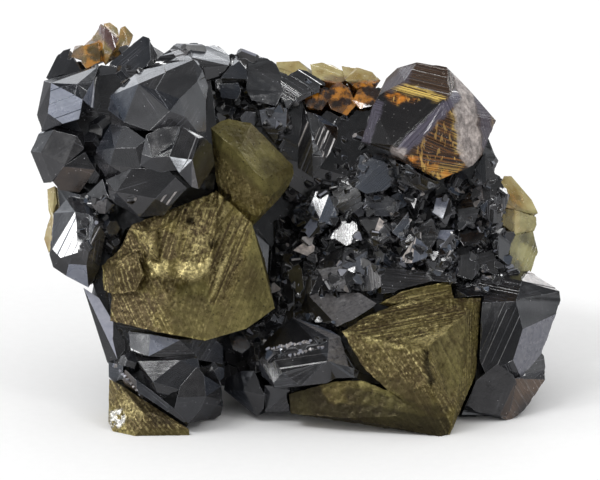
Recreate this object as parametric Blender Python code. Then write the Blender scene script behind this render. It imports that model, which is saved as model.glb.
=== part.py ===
"""Sphalerite specimen: black and amber sphalerite crystals with brassy chalcopyrite, about 53 mm wide.

The crystals are convex solids. Each is the hull of its corners, which are places in the specimen's front
view: millimetres across from its left, millimetres down from its top, and millimetres out toward the eye.
Crystals of one kind that grew into each other are joined into one body, and a body has a pocket with a thin
gap round each neighbour that sits in it. The front faces -Y and the floor is at z = 0.
"""

import itertools
import math
import random

import bmesh
import bpy
import numpy
from mathutils import Euler, Matrix, Vector

MM = 0.001
FRONT_VIEW_TILT = math.radians(15)
EYE_DISTANCE = 450.0
VIEW_CENTRE_ACROSS = 30.0
VIEW_CENTRE_DOWN = 24.0
VIEW_CENTRE_X = 0.37
VIEW_CENTRE_Y = -7.04
VIEW_CENTRE_Z = 17.5
CONTACT_GAP = 0.3
FLOOR_CUT_SIZE = 200.0
SLIVER_SIZE = 1.5
FACE_SPREAD = math.radians(11)
FLATTENING_ROUNDS = 5
CORNER_HOLD = 0.08
GROWTH_LIMIT = 3
FLUSH_ANGLE = math.radians(0.8)
GRAIN_SEED = 11
GRAIN_TURNS = [(0.3, 0.5, 0.2), (1.0, 0.2, 0.9), (0.1, 1.2, 0.5)]
BLOCK_SIZE_MIN = 3.0
BLOCK_SIZE_MAX = 4.4
TURN_SEED = 5
HABIT_INNER_RADIUS = 0.72
HABIT_OPPOSITE_DISTANCE = 1.16
HABIT_CUBE_DISTANCE = 1.22
HABIT_PARALLEL_LIMIT = 0.01
HABIT_TOLERANCE = 0.000001

RIGHT = Vector((1, 0, 0))
UPWARD = Vector((0, math.sin(FRONT_VIEW_TILT), math.cos(FRONT_VIEW_TILT)))
TOWARD_EYE = Vector((0, -math.cos(FRONT_VIEW_TILT), math.sin(FRONT_VIEW_TILT)))
VIEW_CENTRE = Vector((VIEW_CENTRE_X, VIEW_CENTRE_Y, VIEW_CENTRE_Z))


def seen(across, down, out):
    """The place in metres of a point of the front view, on its sight line."""
    nearness = 1 - out / EYE_DISTANCE
    side = (across - VIEW_CENTRE_ACROSS) * nearness
    rise = (VIEW_CENTRE_DOWN - down) * nearness
    return (side * RIGHT + rise * UPWARD + out * TOWARD_EYE + VIEW_CENTRE) * MM


def clear_scene():
    for old in list(bpy.data.objects):
        bpy.data.objects.remove(old, do_unlink=True)


def hull_mesh(places):
    """A closed convex mesh round the places."""
    shape = bmesh.new()
    corners = [shape.verts.new(place) for place in places]
    result = bmesh.ops.convex_hull(shape, input=corners)
    inside = [item for item in result["geom_interior"] if isinstance(item, bmesh.types.BMVert)]
    bmesh.ops.delete(shape, geom=inside, context="VERTS")
    bmesh.ops.recalc_face_normals(shape, faces=shape.faces)
    return shape


def face_groups(shape):
    """The hull's triangles gathered into nearly flat faces, the largest triangle first."""
    free = set(shape.faces)
    groups = []
    for seed in sorted(shape.faces, key=lambda face: -face.calc_area()):
        if seed not in free:
            continue
        free.discard(seed)
        group = [seed]
        for face in group:
            for edge in face.edges:
                for other in edge.link_faces:
                    if other in free and other.normal.angle(seed.normal) < FACE_SPREAD:
                        free.discard(other)
                        group.append(other)
        groups.append(group)
    return groups


def flat_faced(places):
    """The corners moved a little, so that the nearly flat faces of their hull become flat."""
    for _ in range(FLATTENING_ROUNDS):
        shape = hull_mesh(places)
        planes = {corner: [] for corner in shape.verts}
        for group in face_groups(shape):
            area = sum(face.calc_area() for face in group)
            normal = sum((face.normal * face.calc_area() for face in group), Vector()).normalized()
            middle = sum((face.calc_center_median() * face.calc_area() for face in group), Vector()) / area
            for corner in {corner for face in group for corner in face.verts}:
                planes[corner].append((normal, normal.dot(middle)))
        places = []
        for corner, touching in planes.items():
            rows = [normal[:] for normal, _ in touching]
            gaps = [offset - normal.dot(corner.co) for normal, offset in touching]
            rows += [(CORNER_HOLD, 0, 0), (0, CORNER_HOLD, 0), (0, 0, CORNER_HOLD)]
            step = numpy.linalg.lstsq(numpy.array(rows), numpy.array(gaps + [0, 0, 0]), rcond=None)[0]
            places.append(corner.co + Vector(step))
        shape.free()
    return places


def grown_places(places, growth):
    """The corners of the hull moved out, so that each of its faces moves out by the growth."""
    shape = hull_mesh(places)
    moved = []
    for corner in shape.verts:
        normals = numpy.array([face.normal[:] for face in corner.link_faces])
        step = numpy.linalg.lstsq(normals, numpy.full(len(normals), growth), rcond=None)[0]
        length = float(numpy.linalg.norm(step))
        limit = GROWTH_LIMIT * growth
        if length > limit:
            step = step * (limit / length)
        moved.append(corner.co + Vector(step))
    shape.free()
    return moved


def crystal(corners, growth=0.0):
    """An object with the hull of the corners, grown on every side where growth is set."""
    places = flat_faced([seen(*corner) for corner in corners])
    if growth:
        places = grown_places(places, growth * MM)
    shape = hull_mesh(places)
    bmesh.ops.dissolve_limit(shape, angle_limit=FLUSH_ANGLE, verts=shape.verts, edges=shape.edges)
    mesh = bpy.data.meshes.new("crystal")
    shape.to_mesh(mesh)
    shape.free()
    piece = bpy.data.objects.new("crystal", mesh)
    bpy.context.collection.objects.link(piece)
    return piece


def combine(first, second, operation):
    """The first object with the second joined to it or cut from it. The second is used up."""
    cut = first.modifiers.new("combine", "BOOLEAN")
    cut.operation = operation
    cut.solver = "EXACT"
    cut.object = second
    graph = bpy.context.evaluated_depsgraph_get()
    mesh = bpy.data.meshes.new_from_object(first.evaluated_get(graph))
    first.modifiers.clear()
    first.data = mesh
    bpy.data.objects.remove(second, do_unlink=True)
    return first


def grown_together(corner_lists, growth=0.0):
    """One body of all the crystals, joined in pairs and then in pairs of pairs."""
    bodies = [crystal(corners, growth) for corners in corner_lists]
    while len(bodies) > 1:
        joined = [combine(bodies[i], bodies[i + 1], "UNION") for i in range(0, len(bodies) - 1, 2)]
        if len(bodies) % 2:
            joined.append(bodies[-1])
        bodies = joined
    return bodies[0]


def longest_side(corners):
    """The longest side of the box round the corners."""
    return max(max(corner.co[axis] for corner in corners) - min(corner.co[axis] for corner in corners)
               for axis in range(3))


def drop_slivers(piece):
    """Removes slivers that a pocket has cut loose."""
    shape = bmesh.new()
    shape.from_mesh(piece.data)
    left = set(shape.verts)
    groups = []
    while left:
        start = left.pop()
        group = {start}
        front = [start]
        while front:
            corner = front.pop()
            for edge in corner.link_edges:
                other = edge.other_vert(corner)
                if other in left:
                    left.discard(other)
                    group.add(other)
                    front.append(other)
        groups.append(group)
    loose = [corner for group in groups if longest_side(group) < SLIVER_SIZE * MM for corner in group]
    bmesh.ops.delete(shape, geom=loose, context="VERTS")
    shape.to_mesh(piece.data)
    shape.free()


def cut_floor(piece):
    """Cuts the flat resting facets at the floor."""
    bpy.ops.mesh.primitive_cube_add(size=FLOOR_CUT_SIZE * MM, location=(0, 0, -FLOOR_CUT_SIZE * MM / 2))
    combine(piece, bpy.context.object, "DIFFERENCE")


def material(name, colour, roughness, metallic):
    look = bpy.data.materials.new(name)
    look.use_nodes = True
    shader = look.node_tree.nodes["Principled BSDF"]
    shader.inputs["Base Color"].default_value = (*colour, 1)
    shader.inputs["Roughness"].default_value = roughness
    shader.inputs["Metallic"].default_value = metallic
    return look


def node(name, corner_lists, look, neighbours=(), on_floor=False):
    """A finished named body with pockets for the neighbours."""
    piece = grown_together(corner_lists)
    for neighbour in neighbours:
        combine(piece, grown_together(neighbour, CONTACT_GAP), "DIFFERENCE")
    if on_floor:
        cut_floor(piece)
    drop_slivers(piece)
    piece.name = name
    piece.data.name = name
    piece.data.materials.clear()
    piece.data.materials.append(look)
    return piece


def black_front_crystals():
    """The four big crystals nearest the eye, upper left."""
    return [
        [(13.5, 7.4, 0.5), (15.0, 6.8, -0.5), (18.0, 6.1, -0.5), (19.5, 5.9, 0), (20.2, 7.0, 1.5),
         (11.0, 9.6, 0.5), (10.8, 11.0, 1.0), (11.2, 12.8, 2.0), (13.9, 8.2, 3.0), (19.7, 8.2, 3.6),
         (17.7, 10.1, 6.0), (16.8, 11.2, 6.5), (13.2, 10.0, 3.8), (12.4, 12.2, 4.6), (15.0, 13.2, 6.3),
         (18.5, 11.6, 5.6), (19.7, 13.0, 4.6), (20.6, 10.3, 2.8), (20.9, 8.6, 1.2), (20.6, 13.0, 3.2),
         (14.0, 10.0, -7), (18.0, 9.0, -7), (16.0, 13.0, -6), (12.0, 11.0, -5)],
        [(11.0, 12.5, 2.0), (12.3, 12.4, 3.6), (13.2, 13.0, 4.8), (10.0, 14.3, 1.6), (9.6, 15.1, 1.2),
         (9.7, 16.4, 1.2), (10.6, 17.7, 2.2), (11.4, 14.6, 4.6), (11.0, 16.5, 4.4), (13.4, 15.0, 6.2),
         (14.1, 16.8, 6.4), (13.0, 17.8, 5.2), (14.6, 14.0, 6.4), (10.5, 14.0, -4), (12.0, 17.0, -4),
         (14.0, 15.0, -3)],
        [(14.6, 13.6, 6.6), (16.2, 12.6, 6.6), (18.0, 12.6, 6.8), (17.4, 14.0, 7.6), (17.0, 15.7, 8.0),
         (15.2, 15.8, 7.8), (14.2, 15.4, 7.0), (14.0, 16.6, 6.6), (16.0, 17.2, 7.4), (18.0, 17.0, 7.2),
         (15.0, 15.0, 0), (17.0, 14.0, 0), (16.0, 17.0, 0)],
        [(18.0, 12.7, 6.8), (19.8, 13.8, 7.6), (20.3, 13.6, 6.4), (21.2, 14.5, 4.4), (21.5, 16.3, 3.8),
         (20.7, 17.7, 5.4), (19.3, 16.0, 8.6), (17.0, 15.7, 8.2), (17.9, 17.3, 8.2), (19.2, 18.7, 7.6),
         (19.7, 18.9, 6.9), (20.4, 18.3, 5.4), (18.5, 13.5, 0), (20.8, 15.0, -1), (19.5, 18.0, 0),
         (17.0, 17.0, 1)],
        [(10.6, 18.0, 4.0), (12.0, 17.4, 5.4), (13.2, 16.8, 6.4), (16.8, 17.0, 7.4), (17.6, 17.8, 7.6),
         (18.7, 18.8, 7.0), (16.9, 20.7, 6.4), (15.6, 19.9, 7.4), (11.6, 19.2, 6.4), (10.9, 19.6, 4.6),
         (14.0, 21.7, 5.2), (16.4, 21.5, 5.2), (11.4, 20.3, 4.4), (12.0, 19.0, -2), (16.0, 19.0, -2),
         (14.0, 21.0, -1)],
    ]


def black_left_crystals():
    """The boxy crystal, the pointed one below it, the mirror-faced one and the flat slab on the left."""
    return [
        [(5.1, 8.3, 1.4), (7.7, 8.4, 1.6), (8.3, 10.0, 1.8), (7.9, 11.8, 1.4), (6.2, 12.4, 1.0),
         (4.8, 11.3, 1.0), (9.5, 7.9, -0.8), (9.4, 11.0, -0.6), (9.9, 6.6, -3.5), (6.3, 7.6, -2.5),
         (4.4, 8.1, -1.5), (4.0, 10.0, -1.5), (3.7, 11.5, -1.5), (4.2, 13.2, -1.5), (6.5, 10.0, -8),
         (9.0, 10.0, -7)],
        [(5.7, 5.6, -5.5), (6.3, 5.0, -6), (7.2, 4.8, -6.5), (7.3, 5.8, -5), (8.2, 7.2, -4), (6.4, 7.4, -3.6),
         (5.4, 6.8, -4.4), (4.6, 7.8, -3.6), (7.0, 6.0, -11), (8.5, 7.5, -10), (5.6, 8.5, -8)],
        [(5.4, 13.0, 0.5), (7.8, 13.7, 1.2), (8.4, 14.8, 1.4), (6.5, 16.5, 1.5), (5.2, 18.1, 0.5),
         (4.0, 15.2, 0.3), (3.1, 15.3, -1.5), (3.8, 13.4, -2), (4.4, 18.3, -1.5), (3.7, 16.4, -1.5),
         (5.0, 12.5, -3), (7.0, 15.5, -7), (8.5, 13.0, -4), (8.0, 18.0, -4)],
        [(5.2, 18.1, 0.4), (6.5, 16.5, 1.4), (8.5, 15.2, 1.6), (9.5, 17.0, 1.5), (8.0, 19.2, -0.3),
         (6.0, 19.0, -0.3), (7.0, 17.0, -6), (9.5, 17.0, -5)],
        [(5.7, 18.7, -2.5), (7.2, 19.2, -0.5), (8.6, 19.8, 0), (6.0, 21.2, -1.5), (5.8, 20.8, -2.5),
         (7.0, 20.0, -7), (9.0, 19.0, -5)],
        [(5.3, 21.4, -0.8), (6.6, 19.9, -0.8), (7.2, 19.5, -0.8), (8.7, 19.9, 0), (9.0, 20.6, 1.0),
         (7.4, 21.1, 1.6), (8.9, 21.5, 2.4), (5.9, 25.7, 1.6), (5.2, 24.8, 0.8), (5.0, 25.6, 0.2),
         (5.3, 26.6, 0), (6.9, 27.8, 0.4), (8.9, 28.7, 0), (9.9, 27.0, 1.0), (7.8, 25.2, 3.0),
         (10.4, 23.5, 2.2), (9.6, 22.0, 2.6), (9.0, 24.6, 3.2), (8.6, 26.6, 2.6), (6.6, 26.2, 1.9),
         (7.0, 22.0, -6), (9.0, 27.0, -6), (6.5, 26.0, -5)],
        [(8.4, 19.7, 0.8), (9.0, 20.2, 1.6), (10.3, 17.9, 2.6), (10.9, 19.8, 3.6), (10.2, 19.9, 3.0),
         (9.5, 19.0, -3)],
        [(9.0, 20.3, 2.0), (10.7, 19.9, 3.6), (10.5, 21.4, 2.4), (9.8, 21.3, 1.8), (11.5, 20.5, 3.2),
         (10.0, 20.8, -2)],
        [(8.4, 28.8, -1.5), (9.6, 29.6, -1.0), (11.0, 32.0, -0.4), (9.5, 30.2, -1.4), (9.7, 32.0, -1.4),
         (10.1, 34.5, -1.2), (10.7, 36.2, -1.0), (11.6, 36.0, -0.4), (12.5, 35.0, 0), (12.6, 34.2, 0),
         (11.1, 33.1, -0.3), (10.0, 30.0, -6), (12.0, 34.0, -6), (11.0, 36.5, -5), (8.6, 29.6, -2.5)],
    ]


def black_top_crystals():
    """The grey-topped crystals along the top edge."""
    return [
        [(12.0, 5.9, -5.5), (13.4, 4.4, -6.5), (14.3, 3.6, -7), (14.9, 3.8, -7), (15.8, 5.5, -6.5),
         (15.1, 6.5, -5), (13.0, 7.2, -4.5), (11.5, 7.4, -4.8), (11.0, 6.3, -5.2), (14.5, 4.2, -12),
         (12.5, 5.0, -11), (15.0, 6.0, -12), (12.0, 8.0, -9)],
        [(15.3, 6.6, -3.5), (16.0, 5.6, -5), (17.0, 4.9, -6), (19.0, 4.9, -6), (20.0, 6.5, -3),
         (18.0, 6.2, -2.5), (17.0, 5.2, -12), (19.5, 5.2, -12), (18.0, 9.0, -8)],
        [(19.2, 5.7, -4), (19.0, 4.9, -6), (20.8, 4.7, -7.5), (21.5, 4.4, -8), (22.2, 4.9, -7.5),
         (22.9, 5.5, -6.5), (23.0, 6.2, -5), (22.8, 6.6, -4), (20.3, 6.7, -3.6), (19.3, 6.3, -3.6),
         (20.6, 8.0, -4), (22.0, 7.6, -4.2), (21.0, 5.2, -13), (22.6, 6.2, -13), (21.0, 10.0, -10)],
        [(22.1, 7.8, -3.5), (23.0, 6.7, -4.2), (23.9, 6.0, -4.8), (24.6, 6.9, -4.2), (24.7, 7.9, -3.5),
         (24.9, 5.7, -7), (23.0, 5.6, -7), (24.0, 6.3, -12), (24.0, 9.0, -9), (22.3, 8.6, -4.5)],
        [(21.8, 8.5, -4.2), (23.8, 8.2, -3.8), (24.1, 9.2, -3.6), (23.7, 9.9, -3.8), (22.1, 9.8, -4.2),
         (22.5, 9.0, -8), (24.0, 9.0, -8), (23.0, 11.5, -7)],
        [(24.8, 5.8, -6.5), (25.3, 5.4, -7.5), (26.8, 5.8, -7.5), (27.6, 6.4, -7.5), (28.2, 7.6, -6.8),
         (28.2, 9.4, -5.6), (27.6, 10.6, -5), (25.2, 10.0, -4.6), (24.6, 9.0, -4.8), (24.8, 7.0, -5.4),
         (25.0, 6.4, -13), (28.0, 7.2, -13), (26.0, 10.0, -10), (28.5, 10.5, -10)],
        [(26.0, 11.0, -4.6), (27.5, 10.7, -4.8), (28.7, 10.8, -4.9), (29.2, 12.3, -5.2), (28.6, 12.7, -4.6),
         (27.5, 14.2, -5.0), (26.2, 12.6, -4.4), (28.0, 12.0, -10), (26.5, 11.5, -10), (27.0, 14.5, -9)],
        [(28.1, 7.9, -6.4), (29.9, 6.9, -7.6), (30.7, 7.1, -7.6), (32.5, 8.3, -6.8), (32.4, 9.2, -6.2),
         (30.2, 9.4, -5.4), (28.8, 10.6, -5.2), (28.0, 9.6, -5.6), (29.5, 8.3, -13), (31.5, 9.3, -13),
         (29.0, 11.0, -10)],
    ]


def black_middle_crystals():
    """The small sharp crystals in the deep middle, from the striated one down to the brassy ledge."""
    return [
        [(30.4, 10.8, -6.2), (31.5, 11.2, -6.0), (33.8, 12.8, -6.0), (33.7, 14.0, -5.2), (32.5, 16.1, -4.6),
         (31.3, 17.8, -5.0), (30.0, 17.0, -5.6), (29.6, 14.0, -6.2), (31.0, 13.4, -4.4), (32.4, 12.4, -4.6),
         (31.0, 13.0, -12), (33.0, 14.0, -12), (31.0, 17.0, -11)],
        [(36.0, 15.5, -4.6), (38.2, 15.8, -4.0), (38.4, 16.2, -3.0), (35.5, 18.7, -2.8), (34.9, 18.1, -4.0),
         (40.0, 17.2, -3.6), (39.6, 18.2, -3.6), (38.5, 19.0, -3.4), (36.6, 19.4, -3.2), (40.2, 15.6, -5),
         (36.0, 17.0, -10), (39.5, 17.0, -10), (37.0, 20.0, -8)],
        [(30.3, 20.5, -6.0), (31.5, 19.2, -5.8), (32.8, 19.4, -5.4), (33.7, 21.2, -5.0), (33.4, 22.6, -4.8),
         (32.0, 22.2, -4.6), (30.8, 21.0, -5.2), (31.0, 20.0, -11), (33.5, 21.0, -11), (32.0, 24.0, -10)],
        [(30.3, 22.9, -5.6), (31.2, 21.7, -5.6), (32.2, 22.1, -4.6), (32.0, 23.3, -4.4), (30.9, 23.8, -4.8),
         (31.0, 22.5, -10), (32.0, 24.0, -9)],
        [(35.9, 22.0, -4.4), (36.8, 21.6, -4.4), (38.0, 21.8, -3.6), (38.6, 22.4, -3.4), (39.1, 23.6, -3.4),
         (38.4, 24.4, -3.0), (37.2, 23.8, -2.6), (37.4, 24.6, -3.2), (36.6, 22.6, -10), (39.0, 23.0, -9),
         (38.0, 25.5, -8), (39.9, 23.5, -5)],
        [(29.3, 25.1, -5.4), (30.8, 23.9, -5.4), (31.5, 24.6, -4.8), (31.3, 25.9, -4.4), (30.5, 25.0, -11),
         (31.5, 26.0, -10)],
        [(28.2, 25.3, -7.0), (29.3, 25.4, -6.6), (30.2, 27.0, -5.8), (30.4, 28.8, -5.4), (29.8, 29.6, -5.4),
         (28.8, 27.6, -6.2), (29.0, 27.0, -12), (30.5, 29.5, -11)],
        [(40.6, 22.6, -4.2), (42.0, 22.0, -4.0), (43.0, 22.3, -3.6), (43.9, 23.6, -3.0), (42.9, 24.9, -2.4),
         (42.7, 25.8, -2.4), (41.2, 26.3, -2.6), (39.8, 26.3, -3.4), (41.6, 23.6, -2.6), (41.0, 23.0, -10),
         (43.5, 24.0, -9), (41.0, 27.0, -9)],
        [(43.0, 23.0, -4.6), (45.4, 23.0, -4.4), (45.6, 24.8, -3.6), (44.0, 24.8, -3.2), (44.5, 22.6, -5.4),
         (44.0, 23.5, -10), (45.6, 24.5, -9)],
        [(44.0, 24.6, -3.6), (45.4, 24.9, -3.4), (45.2, 26.1, -3.0), (44.3, 27.2, -3.0), (42.8, 27.0, -2.8),
         (43.4, 25.6, -2.6), (44.0, 26.0, -9), (45.5, 27.0, -8), (43.0, 28.0, -8)],
        [(40.7, 19.4, -4.4), (41.7, 19.9, -4.0), (41.4, 20.9, -3.8), (40.9, 20.4, -4.2), (41.0, 20.0, -9),
         (42.0, 21.0, -9)],
        [(43.6, 19.8, -5), (45.0, 19.8, -4.4), (45.3, 21.2, -4.0), (44.3, 21.9, -3.8), (43.2, 21.2, -4.4),
         (44.0, 21.0, -10), (45.5, 22.0, -9)],
        [(36.8, 26.5, -3.8), (38.0, 26.5, -3.8), (38.2, 28.6, -3.0), (37.2, 29.1, -3.0), (35.4, 27.0, -4.6),
         (35.4, 29.0, -4.0), (37.0, 27.5, -9), (38.0, 29.0, -8)],
        [(32.2, 25.4, -5.4), (34.5, 24.6, -5.2), (36.8, 25.0, -4.6), (36.4, 27.5, -3.4), (34.8, 28.9, -3.2),
         (32.8, 28.8, -3.8), (31.8, 27.0, -4.4), (34.0, 26.6, -3.4), (33.0, 27.0, -11), (37.0, 28.0, -10)],
        [(33.6, 22.0, -5.6), (34.6, 21.6, -5.4), (35.7, 22.4, -4.8), (35.9, 24.0, -4.2), (34.6, 24.6, -4.2),
         (33.4, 23.8, -4.8), (34.5, 23.0, -11), (35.8, 24.5, -10)],
        [(33.2, 19.0, -6.2), (34.6, 17.6, -6.0), (36.0, 19.0, -4.6), (36.2, 20.6, -4.2), (34.8, 21.6, -4.6),
         (33.4, 20.6, -5.4), (35.0, 19.5, -12), (36.0, 21.0, -11)],
        [(36.6, 19.6, -4.4), (38.6, 19.4, -4.2), (40.0, 20.4, -3.8), (39.6, 21.6, -3.6), (37.6, 21.6, -3.6),
         (36.4, 20.8, -4), (38.0, 20.5, -10), (40.0, 21.5, -9)],
        [(39.2, 21.7, -4.4), (40.8, 21.2, -4.4), (41.0, 22.4, -4.0), (40.2, 24.0, -3.2), (39.2, 23.2, -3.4),
         (40.0, 22.5, -10), (41.0, 24.0, -9)],
        [(38.0, 26.6, -4.2), (42.6, 27.0, -3.4), (45.6, 27.4, -3.0), (45.6, 28.4, -2.4), (41.0, 28.8, -2.2),
         (38.2, 29.4, -2.4), (39.0, 28.0, -9), (45.0, 28.5, -8)],
        [(30.6, 29.4, -5.0), (33.0, 29.2, -4.4), (36.4, 29.6, -3.2), (37.6, 30.4, -2.4), (35.4, 32.0, -1.2),
         (33.8, 32.6, -1.0), (31.6, 32.0, -2.4), (30.0, 31.0, -4.0), (31.0, 31.0, -10), (36.0, 31.0, -9),
         (33.0, 33.0, -8)],
    ]


def black_right_crystals():
    """The crystals right of the middle and the big dark one at the right edge."""
    return [
        [(38.5, 15.6, -3.0), (40.5, 15.9, -1.0), (44.0, 18.2, -1.6), (42.5, 19.2, -2.8), (40.0, 18.4, -3.0),
         (39.0, 16.5, -9), (44.0, 18.5, -8), (41.5, 20.0, -8)],
        [(46.0, 22.8, -5.0), (47.8, 22.4, -5.0), (48.5, 23.4, -4.2), (48.3, 24.2, -3.8), (46.3, 24.6, -3.8),
         (45.8, 23.8, -4.4), (47.0, 23.0, -11), (48.5, 24.5, -10)],
        [(45.6, 20.9, -4.8), (46.9, 19.2, -5.0), (48.1, 20.5, -4.0), (47.5, 22.2, -4.0), (46.2, 22.6, -4.4),
         (47.0, 20.5, -10), (48.0, 22.0, -10)],
        [(48.5, 15.2, -6.0), (49.8, 18.0, -5.6), (48.6, 18.6, -4.4), (47.2, 18.2, -4.4), (47.6, 16.8, -5.0),
         (48.5, 16.5, -12), (49.5, 18.5, -11)],
        [(47.0, 19.0, -4.8), (48.0, 18.2, -5.0), (50.0, 18.0, -5.2), (50.4, 18.7, -4.8), (48.4, 20.4, -3.8),
         (48.0, 19.0, -10), (50.0, 19.0, -10), (49.0, 21.0, -9)],
        [(50.4, 19.0, -4.8), (51.0, 19.5, -5.4), (50.5, 21.0, -5.0), (50.0, 22.3, -4.4), (49.4, 22.3, -3.8),
         (49.5, 19.6, -4.0), (48.3, 21.8, -3.6), (48.0, 20.6, -3.8), (48.9, 19.9, -3.8), (49.0, 20.5, -10),
         (50.4, 21.5, -10)],
        [(49.0, 23.4, -4.8), (50.4, 22.7, -5.0), (51.1, 24.5, -4.6), (50.6, 26.3, -4.2), (49.9, 25.8, -3.6),
         (49.2, 24.5, -3.8), (49.8, 23.6, -3.8), (50.0, 23.5, -10), (50.8, 26.0, -10)],
        [(47.8, 24.8, -4.6), (49.2, 25.0, -4.2), (50.0, 26.6, -3.6), (49.6, 27.6, -3.2), (47.8, 26.6, -3.4),
         (47.2, 25.6, -4), (48.0, 26.0, -10), (50.0, 27.0, -9)],
        [(45.9, 25.6, -4.4), (47.4, 25.2, -4.2), (48.0, 26.9, -3.2), (47.2, 28.0, -2.8), (45.8, 27.6, -3.2),
         (46.0, 27.0, -9), (48.0, 27.5, -9)],
        [(45.6, 29.0, -2.6), (47.8, 28.0, -3.4), (50.0, 27.6, -3.4), (52.0, 27.1, -4.4), (53.0, 27.1, -5.0),
         (55.9, 29.0, -4.6), (56.1, 30.2, -4.2), (55.9, 31.0, -3.8), (54.5, 33.8, -3.0), (53.5, 36.2, -2.4),
         (52.0, 37.8, -1.2), (52.1, 28.1, -1.8), (51.8, 30.2, 0.6), (52.2, 33.3, 0.8), (51.3, 36.0, 0.8),
         (49.8, 33.3, 0.8), (48.1, 32.2, 0.4), (48.0, 36.2, 0.6), (47.8, 30.0, -0.4), (49.0, 37.5, 0.4),
         (48.0, 29.0, -10), (55.0, 30.0, -10), (54.0, 34.0, -9), (51.0, 37.0, -8)],
        [(48.0, 37.6, 0.8), (49.7, 36.4, 1.0), (51.3, 37.4, 0.8), (51.6, 38.1, 0.6), (50.1, 41.6, 0.4),
         (47.6, 41.2, 1.0), (46.2, 40.2, 1.2), (47.0, 38.6, 1.4), (50.8, 42.0, -0.4), (48.0, 39.0, -6),
         (52.0, 40.0, -6), (50.0, 42.0, -5)],
        [(51.4, 38.0, 0), (52.6, 37.6, -1.6), (54.4, 37.0, -2.6), (54.5, 37.8, -2.4), (53.7, 39.0, -2.0),
         (53.2, 40.0, -1.6), (52.5, 41.0, -1.2), (51.0, 42.1, -0.6), (50.2, 41.8, 0), (52.0, 39.0, -7),
         (53.5, 38.5, -7), (51.5, 41.5, -6)],
        [(53.6, 34.6, -3.4), (54.4, 35.6, -3.6), (54.6, 36.7, -3.6), (54.4, 37.6, -3.0), (52.6, 37.8, -1.6),
         (52.4, 36.0, -1.6), (53.0, 36.0, -8), (54.3, 37.0, -8)],
    ]


def black_lower_crystals():
    """The stepped crystal in the lower middle and those of the left leg."""
    return [
        [(29.2, 31.7, -2.0), (31.6, 32.5, -1.6), (32.9, 33.0, -0.8), (28.0, 33.0, -1.0), (26.0, 34.6, 0.5),
         (26.8, 35.0, 2.2), (31.4, 34.1, 3.0), (33.0, 33.8, 2.6), (34.0, 33.6, 1.6), (27.4, 36.4, 3.4),
         (28.5, 37.1, 4.4), (32.8, 36.2, 4.8), (34.9, 36.5, 3.8), (35.9, 37.2, 3.2), (35.6, 38.0, 3.6),
         (30.0, 38.6, 4.4), (27.3, 38.3, 3.8), (27.5, 38.9, 3.6), (25.8, 36.0, 1.6), (26.2, 37.6, 2.0),
         (28.0, 34.0, -6), (33.0, 35.0, -5), (31.0, 39.0, -4), (27.0, 38.0, -5)],
        [(25.0, 34.6, -0.5), (25.9, 34.8, 0.6), (26.3, 37.0, 1.6), (25.2, 37.4, 0.4), (24.7, 36.0, -1),
         (26.0, 36.0, -6), (27.5, 36.5, -3)],
        [(22.6, 37.8, -1.5), (24.0, 37.2, 0.2), (25.4, 37.0, 1.0), (26.4, 39.4, 1.6), (26.4, 40.8, 1.2),
         (25.8, 41.5, 0.6), (24.5, 40.8, -0.2), (23.3, 39.8, -1.0), (22.4, 38.8, -1.6), (24.4, 39.2, 1.0),
         (24.0, 38.5, -6), (27.0, 41.0, -4), (27.5, 38.5, -4)],
        [(26.5, 38.5, 1.0), (28.8, 38.6, 1.6), (28.9, 41.0, 1.0), (26.5, 41.3, 0.6), (29.0, 39.0, 2.0),
         (27.0, 40.0, -5), (30.0, 40.0, -5)],
        [(12.8, 33.2, 1.0), (15.0, 33.4, 3.0), (18.0, 34.0, 3.4), (21.3, 33.9, 2.6), (22.3, 34.6, 1.4),
         (22.3, 36.5, 0.8), (20.0, 36.0, 3.0), (15.0, 35.5, 3.4), (13.0, 35.0, 1.6), (14.0, 34.0, -6),
         (21.0, 35.0, -6), (18.0, 33.0, -6)],
        [(13.9, 36.3, 3.6), (18.0, 36.0, 4.6), (19.7, 35.8, 4.2), (20.0, 36.8, 4.4), (18.1, 38.9, 4.6),
         (15.2, 38.2, 4.4), (13.5, 35.6, 1.5), (19.5, 35.3, 1.5), (16.0, 40.0, 3.6), (15.0, 39.4, 3.0),
         (15.0, 37.0, -4), (19.0, 37.0, -4)],
        [(19.7, 36.7, 4.6), (20.4, 37.5, 4.8), (20.6, 39.5, 5.2), (20.0, 41.0, 5.0), (18.8, 42.2, 4.6),
         (17.4, 41.0, 5.0), (17.7, 39.8, 5.2), (18.1, 38.5, 5.0), (22.2, 38.6, 2.0), (22.2, 40.0, 1.8),
         (20.6, 42.0, 2.6), (21.2, 36.6, 2.0), (19.0, 38.0, -4), (21.0, 41.0, -3), (18.0, 41.5, -2)],
        [(12.5, 37.0, 2.2), (13.6, 38.0, 3.4), (15.4, 39.2, 4.0), (17.5, 41.0, 4.6), (18.8, 42.4, 4.2),
         (15.0, 42.4, 4.2), (13.8, 41.0, 3.6), (12.2, 38.0, 2.0), (18.5, 43.2, 3.4), (15.0, 43.2, 3.2),
         (14.0, 39.0, -5), (18.0, 42.0, -4), (15.0, 43.0, -4)],
        [(10.8, 36.2, -0.2), (12.3, 36.6, 1.6), (12.3, 37.9, 2.0), (11.0, 38.3, 0.4), (12.0, 36.0, -4),
         (12.0, 38.5, -4)],
    ]


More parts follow.
